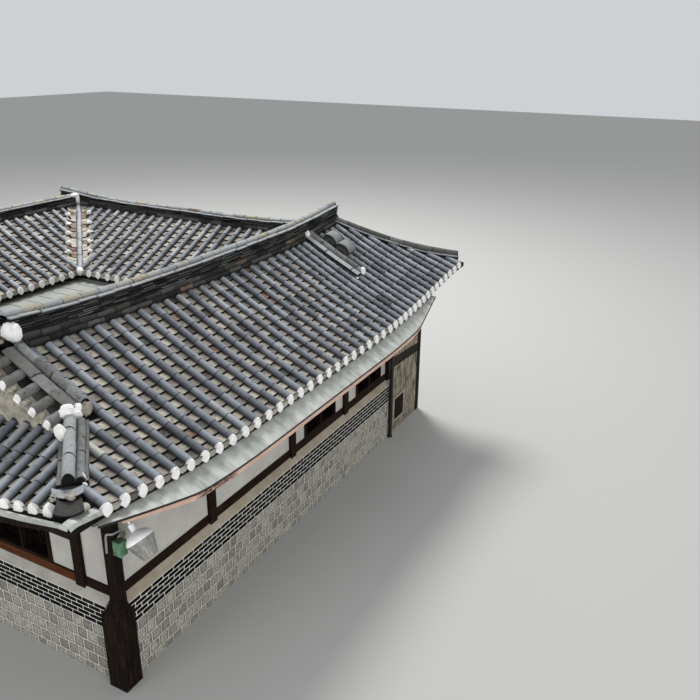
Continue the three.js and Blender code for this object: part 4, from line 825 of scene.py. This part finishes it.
def corner_stack(title, run, eave, way):
    """The verge down a gable end with its short cross tiles, the hip to the corner, and the fan at its foot."""
    heap, mortar, bed_mortar = Ridge(), Heap(), Heap()
    ridge = eave + way * (run - 0.16)
    y = np.linspace(ridge, eave + way * 1.09, 13)
    heap.follow(columns(0, y, roof_height(0.1, y, (y - eave) * way)))
    down_stack(
        heap, -way,
        ((0.02, 0.46, -0.05, 0.05), (0.12, 0.44, 0.055, 0.07),
         (0.14, 0.43, 0.08, 0.095), (0.15, 0.42, 0.105, 0.12)),
        (0.12, 0.28, 0.13), (0.355, 0.125), (0.44, 0.6))
    cross_tiles(heap, mortar, bed_mortar, run, ridge, eave, way)
    t = np.linspace(0, 1, 26)
    x = 0.07 + (LEFT_EAVE + 0.06 - 0.07) * t
    y = eave + way * (x - LEFT_EAVE)
    hip, rises = columns(x, y, roof_height(x, y, x - LEFT_EAVE)), 0.04 * t
    heap.follow(hip[:22], rises[:22], HIP_HEIGHT).course(plate(-0.10, 0.10, -0.05, 0.04), 0.26, (0.1, 0.4))
    heap.follow(hip[:19], rises[:19], HIP_HEIGHT)
    for section, tones, shift in (
        (plate(-way * 0.03, -way * 0.185, 0.0, 0.05), (0.4, 0.6), 0.1),
        (roll(-way * 0.115, 0.05, 0.047, 0.055), (0.52, 0.62), 0.1),
        (roll(0.0, 0.055, 0.07, 0.105), (0.66, 0.74), 0.0),
        (plate(way * 0.115, way * 0.068, -0.02, 0.055), (0.5, 0.62), 0.05),
        (plate(-way * 0.165, -way * 0.19, -0.02, 0.07), (0.5, 0.62), 0.15),
    ):
        heap.course(section, 0.225, tones, shift)

    def near(x, depth, high):
        """A point above the tile bed, its depth counted in from the eave."""
        y = eave + way * depth
        return np.array([x, y, float(roof_height(x, y, depth)) + high])

    for pats, size, *places in (
        (mortar, (0.10, 0.09, 0.085), (0.10, 1.12, 0.13)),
        (mortar, (0.06, 0.05, 0.06), (0.19, 1.06, 0.10), (0.24, 1.10, 0.13)),
        (mortar, (0.05, 0.07, 0.10), (-0.175, 0.93, 0.10)),
        (mortar, (0.035, 0.045, 0.075), (-0.50, 0.29, 0.09), (-0.53, 0.25, 0.05)),
        (bed_mortar, (0.085, 0.04, 0.085), (0.33, 1.07, 0.12)),
        (bed_mortar, (0.05, 0.06, 0.035), (-0.76, 0.19, 0.06), (-0.80, 0.015, 0.06), (-0.74, 0.03, 0.045)),
        (bed_mortar, (0.05, 0.05, 0.04), (-0.86, 0.30, 0.025)),
    ):
        lumps(pats, [near(*place) for place in places], size)
    along = unit(hip[-1] - hip[-2])
    across = unit(np.array([along[1], -along[0], 0.0]))
    over = unit(np.cross(across, along))
    over *= np.sign(over[2])
    hollow = np.linspace(-0.155, 0.155, 7)
    fan = shell(columns(hollow, 0.05 * (hollow / 0.155) ** 2))
    for centre, back, on, section, scales, tone in (
        (near(-0.735, 0.245, 0.055), 0.06, 0.085, fan, (1.0, 0.92), 0.72),
        (near(-0.86, 0.10, 0.035), 0.09, 0.14, fan * [0.85, 0.9], (0.85, 1.1), 0.3),
    ):
        ends = np.stack([centre - back * along, centre + on * along])[None]
        heap.add(swept(ends, across, over, section, scales), tone)
    heap.make("tiles_" + title, RIDGE_TILE, "ridge_tile", title)
    mortar.make("mortar_" + title, LIME_MORTAR, "plaster")
    bed_mortar.make("bedding_" + title, BEDDING, "plaster")


corner_stack("corner_ridge_front_left", MAIN_RUN, FRONT_EAVE, 1)
corner_stack("corner_ridge_front_wing_court", MAIN_RUN, FRONT_COURT, -1)
corner_stack("corner_ridge_rear_wing_court", SIDE_RUN, REAR_COURT, 1)
corner_stack("corner_ridge_rear_left", SIDE_RUN, REAR_EAVE, -1)


def folded(name, material, profile):
    """Folded sheet metal along an edge: a closed profile of (x, y, z) lines, each given from end to end."""
    Heap().add(np.stack([columns(*line) for line in profile], 1)[None]).make(name, material, "sheet_metal")


def drip_edge(title, first, last):
    """Sheet metal along the edge of a left hip, on the face of the roof's boards."""
    y = np.linspace(first - 0.07, last + 0.07, 40)
    edge, bed = LEFT_EAVE - bulge(y, first, last), roof_height(LEFT_EAVE, y, 0)
    foot = bed - 0.055 + 0.02 * np.maximum(0, 1 - np.minimum(y - first, last - y) / 0.6)
    folded("drip_edge_" + title, SHEET_METAL, (
        (edge + 0.01, y, bed + 0.006), (edge - 0.013, y, bed + 0.002), (edge - 0.016, y, foot),
        (edge - 0.001, y, foot)))


x = np.linspace(LEFT_EAVE - 0.075, -0.62, 12)
edge, bed = FRONT_EAVE - bulge(x, LEFT_EAVE, RIGHT_EAVE), roof_height(x, FRONT_EAVE, 0)
folded("drip_edge_front_corner", SHEET_METAL, [(x, edge + out, bed + up) for out, up in (
    (0.08, 0.014), (-0.012, 0.008), (-0.035, -0.024), (-0.035, -0.034), (-0.006, -0.004), (0.08, 0.009))])
drip_edge("front_wing", FRONT_EAVE, FRONT_COURT)
drip_edge("rear_wing", REAR_COURT, REAR_EAVE)

# Walls

# For each side, a point of its face, the way along it and the way out of it.
SIDES = {"front": (0 * X, X, -Y), "left": (0 * X, Y, -X), "right": (8.77 * X, Y, X), "rear": (9.85 * Y, X, Y)}
STONE_TOP, BRICK_TOP, LEDGE_TOP = 0.795, 1.13, 1.22
SILL_TOP, WINDOW_TOP, PLATE_BOTTOM, PLATE_TOP = 1.35, 2.30, 2.86, 3.0
STONE, COURSE, BRICK = 0.17, 0.067, 0.20
STONE_JOINT, BRICK_JOINT, POINTING_WIDTH = 0.014, 0.015, 0.017
POST_HALF = 0.075
PANE_FOOT, PANE_HEAD = 1.40, 2.25


def raised(side, first, last, bottom, top, layers):
    """Blocks on a wall face, by their edges along it and up it. layers holds (out, inset) for each ring."""
    origin, along, outward = SIDES[side]
    first, last, bottom, top = np.broadcast_arrays(*np.atleast_1d(first, last, bottom, top))
    rings = []
    for out, inset in layers:
        left, right, low, high = first + inset, last - inset, bottom + inset, top - inset
        level, upright = np.stack([left, right, right, left], 1), np.stack([low, low, high, high], 1)
        rings.append(origin + level[..., None] * along + upright[..., None] * UP + out * outward)
    return np.stack(rings, 1)


def bond(first, last, bottom, top, length, height, joint, shifts):
    """Left, right, low and high edges of blocks in courses, each with its own shift and with its ends cut."""
    blocks = []
    for k, z in enumerate(np.arange(bottom, top - 0.3 * height, height)):
        edges = np.arange(first - shifts[k % len(shifts)] * length, last + length, length)
        left, right = np.maximum(edges[:-1], first), np.minimum(edges[1:], last)
        keep = right - left > 0.03
        low, high = z + joint / 2, min(z + height, top) - joint / 2
        blocks.append(columns(left[keep] + joint / 2, right[keep] - joint / 2, low, high))
    return np.concatenate(blocks).T


def masonry(side, title, first, last):
    """Squared granite with raised pointing, then five courses of black brick."""
    stones, joints, bricks = Heap(), Heap(), Heap()
    base = STONE_TOP - 5 * STONE
    left, right, low, high = bond(
        first, last, base, STONE_TOP, STONE, STONE, STONE_JOINT, (0.0, 0.5, 0.2, 0.7, 0.4))
    low = np.maximum(low, 0.004)
    face = ((-0.004, 0), (0.002, 0.001), (0.008, 0.020))
    stones.add(raised(side, left, right, low, high, face), chance.random(len(low)))
    stones.make("granite_blocks_" + title, GRANITE, "masonry", crease=25)
    half = POINTING_WIDTH / 2
    rib = np.array([(-0.004, 0), (0.010, 0.001), (0.013, 0.006)])
    beds = np.arange(base + STONE, STONE_TOP + 0.01, STONE)
    joints.add(raised(side, first, last, beds - half, beds + half, rib))
    inner = right < last - 0.03
    place = right[inner] + STONE_JOINT / 2
    foot = ((low[inner] + 0.05 - base) // STONE) * STONE + base
    joints.add(raised(
        side, place - half, place + half, np.maximum(foot, 0.002), foot + STONE, rib - [0.0005, 0]))
    joints.make("pointing_" + title, STONE_POINTING, "masonry")
    left, right, low, high = bond(first, last, STONE_TOP, BRICK_TOP, BRICK, COURSE, BRICK_JOINT, (0.0, 0.5))
    face = ((-0.004, 0), (0.004, 0.0), (0.006, 0.002))
    bricks.add(raised(side, left, right, low, high, face), chance.random(len(low)))
    bricks.make("black_bricks_" + title, BLACK_BRICK, "masonry")


masonry("front", "front", 0.186, 7.555)
masonry("left", "left", 0.186, 3.235)
masonry("right", "right", 0.305, 9.545)
masonry("rear", "rear", 0.005, 8.765)
masonry("left", "rear_left", 7.205, 9.545)


def between(first, last, spaces):
    """The places that part a length into equal spaces."""
    return np.linspace(first, last, spaces + 1)[1:-1]


def timbers(side, title, first, last, posts, window=None):
    """Posts, sill and plate on a plain wall, and a frame, stile and bars over its window, as on other sides."""
    beam_face, post_face = ((-0.1, 0), (-0.07, 0), (-0.066, 0.004)), ((-0.1, 0), (-0.048, 0), (-0.042, 0.006))
    beams = raised(side, first, last, (LEDGE_TOP - 0.001, PLATE_BOTTOM), (SILL_TOP, PLATE_TOP), beam_face)
    Heap().add(beams).make("sill_and_plate_" + title, PINE_BEAM, "timber")
    posts = np.array(posts)
    uprights = raised(side, posts - POST_HALF, posts + POST_HALF, LEDGE_TOP, PLATE_TOP, post_face)
    Heap().add(uprights).make("posts_" + title, DARK_PINE, "timber")
    if window:
        low, high = window
        middle, rim = (low + high) / 2, 0.055
        bars = Heap().add(raised(
            side,
            (low, low, low, high - rim, middle - rim / 2), (high, high, low + rim, high, middle + rim / 2),
            (SILL_TOP, WINDOW_TOP - rim, SILL_TOP, SILL_TOP, SILL_TOP), (SILL_TOP + rim, *[WINDOW_TOP] * 4),
            ((-0.116, 0), (-0.098, 0), (-0.095, 0.003))))
        z = between(SILL_TOP, WINDOW_TOP, 7)
        bars.add(raised(side, low, high, z - 0.006, z + 0.006, ((-0.116, 0), (-0.104, 0), (-0.102, 0.001))))
        bars.make("window_bars_" + title, DARK_PINE, "timber")


timbers("right", "right", 0.31, 9.6, (0.41, 2.6, 4.1, 5.7, 7.6, 9.5), (4.4, 5.4))
timbers("rear", "rear", 0.1, 8.67, (0.2, 2.0, 3.6, 5.2, 7.0, 8.57), (3.9, 4.9))
timbers("left", "rear_left", 7.21, 9.6, (7.31, 8.4, 9.5))

# Thin bars before the panes: level ones on the front, a grid on the left.
bars = Heap()
BAR_FACE = ((-0.2345, 0), (-0.222, 0), (-0.220, 0.001))
z = between(PANE_FOOT, PANE_HEAD, 7)
for first, last in ((4.45, 5.37), (6.26, 7.17)):
    bars.add(raised("front", first, last, z - 0.006, z + 0.006, BAR_FACE))
z, y = between(PANE_FOOT, PANE_HEAD, 11), between(1.20, 2.14, 13)
bars.add(raised("left", 1.20, 2.14, z - 0.005, z + 0.005, BAR_FACE))
upright_face = ((-0.2340, 0), (-0.224, 0), (-0.2225, 0.001))
bars.add(raised("left", y - 0.005, y + 0.005, PANE_FOOT, PANE_HEAD, upright_face))
bars.make("window_bars_front_and_left", DARK_PINE, "timber")

facing = raised("left", 0.75, 3.08, LEDGE_TOP, 1.348, ((-0.1, 0), (-0.088, 0), (-0.084, 0.004)))
Heap().add(facing).make("left_sill_facing", RED_PINE, "timber")

# The far end of the front: four slats in the stone, and the panel of the low hatch.
slats = Heap()
for k in range(4):
    foot, head = (k + 0.12) / 4, (k + 0.80) / 4
    z = np.array([1.456 + 0.22 * foot, 1.40 + 0.19 * foot, 1.40 + 0.19 * head, 1.456 + 0.22 * head])
    slats.add(np.stack([columns([7.61, 8.76, 8.76, 7.61], -out, z) for out in (-0.004, 0.012)])[None])
slats.add(raised("front", 7.646, 8.084, 0.261, 0.729, ((0.012, 0), (0.0185, 0), (0.020, 0.002))))
slats.make("slats_and_hatch_panel", DARK_PINE, "timber")

# The ribs inside the lamp's tilted dome, from its crown to its rim.
LAMP_AXIS = np.array([0, -0.635, -0.7725])
LAMP_RIM = np.array([0.165, -0.328, 2.172])
RIB_SECTION = [(-0.0025, -0.003), (0.0025, -0.003), (0.0025, 0.003), (-0.0025, 0.003)]
ribs = Heap()
for turn in np.linspace(0, 2 * math.pi, 13)[:-1]:
    spoke = math.cos(turn) * X + math.sin(turn) * np.array([0, 0.7725, -0.635])
    ends = [LAMP_RIM + 0.168 * spoke + 0.004 * LAMP_AXIS, LAMP_RIM + 0.0935 * spoke + 0.222 * LAMP_AXIS]
    ribs.add(swept(np.array([ends]), np.cross(LAMP_AXIS, spoke), spoke, RIB_SECTION))
ribs.make("lamp_ribs", CONDUIT, "lamp_metal")

# A grey conduit from beside the box round the corner post, and a pat of clay above the box.
CONDUIT_RADIUS = 0.014
bend = np.array([
    (-0.014, 0.032, 1.975), (-0.014, 0.018, 2.19), (-0.014, 0.008, 2.225), (-0.014, -0.018, 2.248),
    (-0.012, -0.052, 2.254), (0.006, -0.070, 2.252), (0.04, -0.072, 2.247), (0.135, -0.073, 2.232)])
along = unit(np.gradient(bend, axis=0))
side = unit(np.cross(along, [0.7, 0.7, 0.14]))
turn = np.linspace(0, 2 * math.pi, 11)[:-1]
pipe = CONDUIT_RADIUS * columns(np.cos(turn), np.sin(turn))
conduit = swept(bend[None], side[None], np.cross(side, along)[None], pipe)
Heap().add(conduit).make("conduit_beside_the_box", CONDUIT, "painted_box")
lumps(Heap(), (0.145, -0.062, 2.145), (0.062, 0.03, 0.055)).make("clay_patch_above_the_box", BEDDING, "plaster")

# Ribs over the court's sheet, in plan along y.
x = np.arange(-0.1, 6.5, 0.32)[:, None] + [-0.02, 0.02, 0.012, -0.012]
sheet_ribs = np.stack([columns(x, y, [2.701, 2.701, 2.713, 2.713]) for y in (3.26, 7.18)], 1)
Heap().add(sheet_ribs).make("ribs_of_the_court_sheet", COURT_SHEET, "court_sheet")

# The black folded edge of the front apron, which draws in and lifts towards its two ends.
x = np.linspace(-0.78, 7.84, 60)
drawn_in = np.clip(np.maximum((0.6 - x) / 1.39, (x - 6.7) / 1.15), 0, 1)
edge = FRONT_EAVE - bulge(x, LEFT_EAVE, RIGHT_EAVE) - (0.26 - 0.17 * drawn_in)
top = roof_height(x, FRONT_EAVE, 0) - (0.205 - 0.113 * drawn_in)
folded("folded_edge_of_the_apron", BLACK_IRON, [(x, edge + out, top + up) for out, up in (
    (-0.007, -0.022), (0.001, -0.022), (0.003, 0.002), (-0.007, 0.002))])

# What the solids are made of

FINISHES = {
    ROOF_BED: ("roof_",), BEDDING: ("gable_",), SHEET_METAL: ("front_apron",), PAINTED_BOARD: ("front_fascia",),
    DARK_PINE: (
        "left_fascia", "corner_post", "window_front", "window_left", "front_wing_floor", "right_wing_floor",
        "rear_wing_floor", "far_corner_post"),
    PINE_BEAM: ("timber_frame_",), BLACK_IRON: ("down_pipe",), COURT_SHEET: ("courtyard_sheet",),
    BOX_PAINT: ("junction_box",), LAMP_METAL: ("lamp_shade", "lamp_bracket"), LAMP_GLASS: ("lamp_lens",),
    POINTING: ("masonry_base_",), LEDGE_BEIGE: ("ledge_front",), LEDGE_GREY: ("ledge_left",),
    PLASTER: ("plaster_wall_", "upper_wall_", "court_wall_"), ROUGH_STONE: ("stone_end_wall_front",),
    PANE: ("window_glass_", "window_right", "window_rear"), PALE_TIMBER: ("end_wall_hatch",),
}
for material, starts in FINISHES.items():
    for name, node in nodes.items():
        if name.startswith(starts):
            node.data.materials.clear()
            node.data.materials.append(material)

# Floor, light and camera


def to_matrix(parts):
    """A placing matrix from its four columns: right, up, back and place."""
    rows = [[float(v) for v in row] for row in np.stack(parts, 1)]
    return Matrix(rows + [[0.0, 0.0, 0.0, 1.0]])


FLOOR_HALF, FLOOR_Z = 90, -0.002
floor_mesh = bpy.data.meshes.new("studio_floor")
floor_corners = [(x * FLOOR_HALF, y * FLOOR_HALF, FLOOR_Z) for x, y in ((-1, -1), (1, -1), (1, 1), (-1, 1))]
floor_mesh.from_pydata(floor_corners, [], [(0, 1, 2, 3)])
floor = bpy.data.objects.new("studio_floor", floor_mesh)
scene.collection.objects.link(floor)
floor_paint = bpy.data.materials.new("grey_studio_paper")
floor_paint.use_nodes = True
floor_shader = floor_paint.node_tree.nodes["Principled BSDF"]
floor_shader.inputs["Base Color"].default_value = linear("#b4b3b0")
floor_shader.inputs["Roughness"].default_value = 0.95
floor_mesh.materials.append(floor_paint)


def soft_light(name, place, target, size, power):
    lamp = bpy.data.lights.new(name, "AREA")
    lamp.shape, lamp.size, lamp.energy = "DISK", size, power
    holder = bpy.data.objects.new(name, lamp)
    scene.collection.objects.link(holder)
    back = unit(np.array(place, float) - target)
    side = unit(np.cross(UP, back))
    holder.matrix_world = to_matrix([side, np.cross(back, side), back, place])


soft_light("high_key", (17, 12, 24), (4, 3, 2), 9, 7500)
soft_light("low_fill", (-6, -20, 5), (3, 0, 1.5), 12, 1700)
soft_light("left_fill", (-17, 5, 5), (0, 2, 1.5), 10, 1100)
world = bpy.data.worlds.new("overcast")
world.use_nodes = True
world.node_tree.nodes["Background"].inputs["Color"].default_value = linear("#eef1f5")
world.node_tree.nodes["Background"].inputs["Strength"].default_value = 0.72
scene.world = world
bpy.context.scene.view_settings.view_transform = "Standard"

# The camera as solved from the photograph: its angles, its focal length in pixels and its place.
TURN, TIP, ROLL = math.radians(61.885), math.radians(21.908), math.radians(-0.6376)
FOCAL_PIXELS, PHOTO_PIXELS, SENSOR_MM = 758.82, 700, 36
EYE = [-5.031, -5.764, 7.383]
look = np.array([math.sin(TURN) * math.cos(TIP), math.cos(TURN) * math.cos(TIP), -math.sin(TIP)])
across = np.array([math.cos(TURN), -math.sin(TURN), 0.0])
down = np.cross(look, across)
right = math.cos(ROLL) * across + math.sin(ROLL) * down
below = -math.sin(ROLL) * across + math.cos(ROLL) * down
camera = bpy.data.objects.new("camera", bpy.data.cameras.new("camera"))
camera.data.sensor_width = SENSOR_MM
camera.data.lens = FOCAL_PIXELS / PHOTO_PIXELS * SENSOR_MM
camera.data.clip_end = 300
camera.matrix_world = to_matrix([right, -below, -look, EYE])
scene.collection.objects.link(camera)
bpy.context.scene.camera = camera
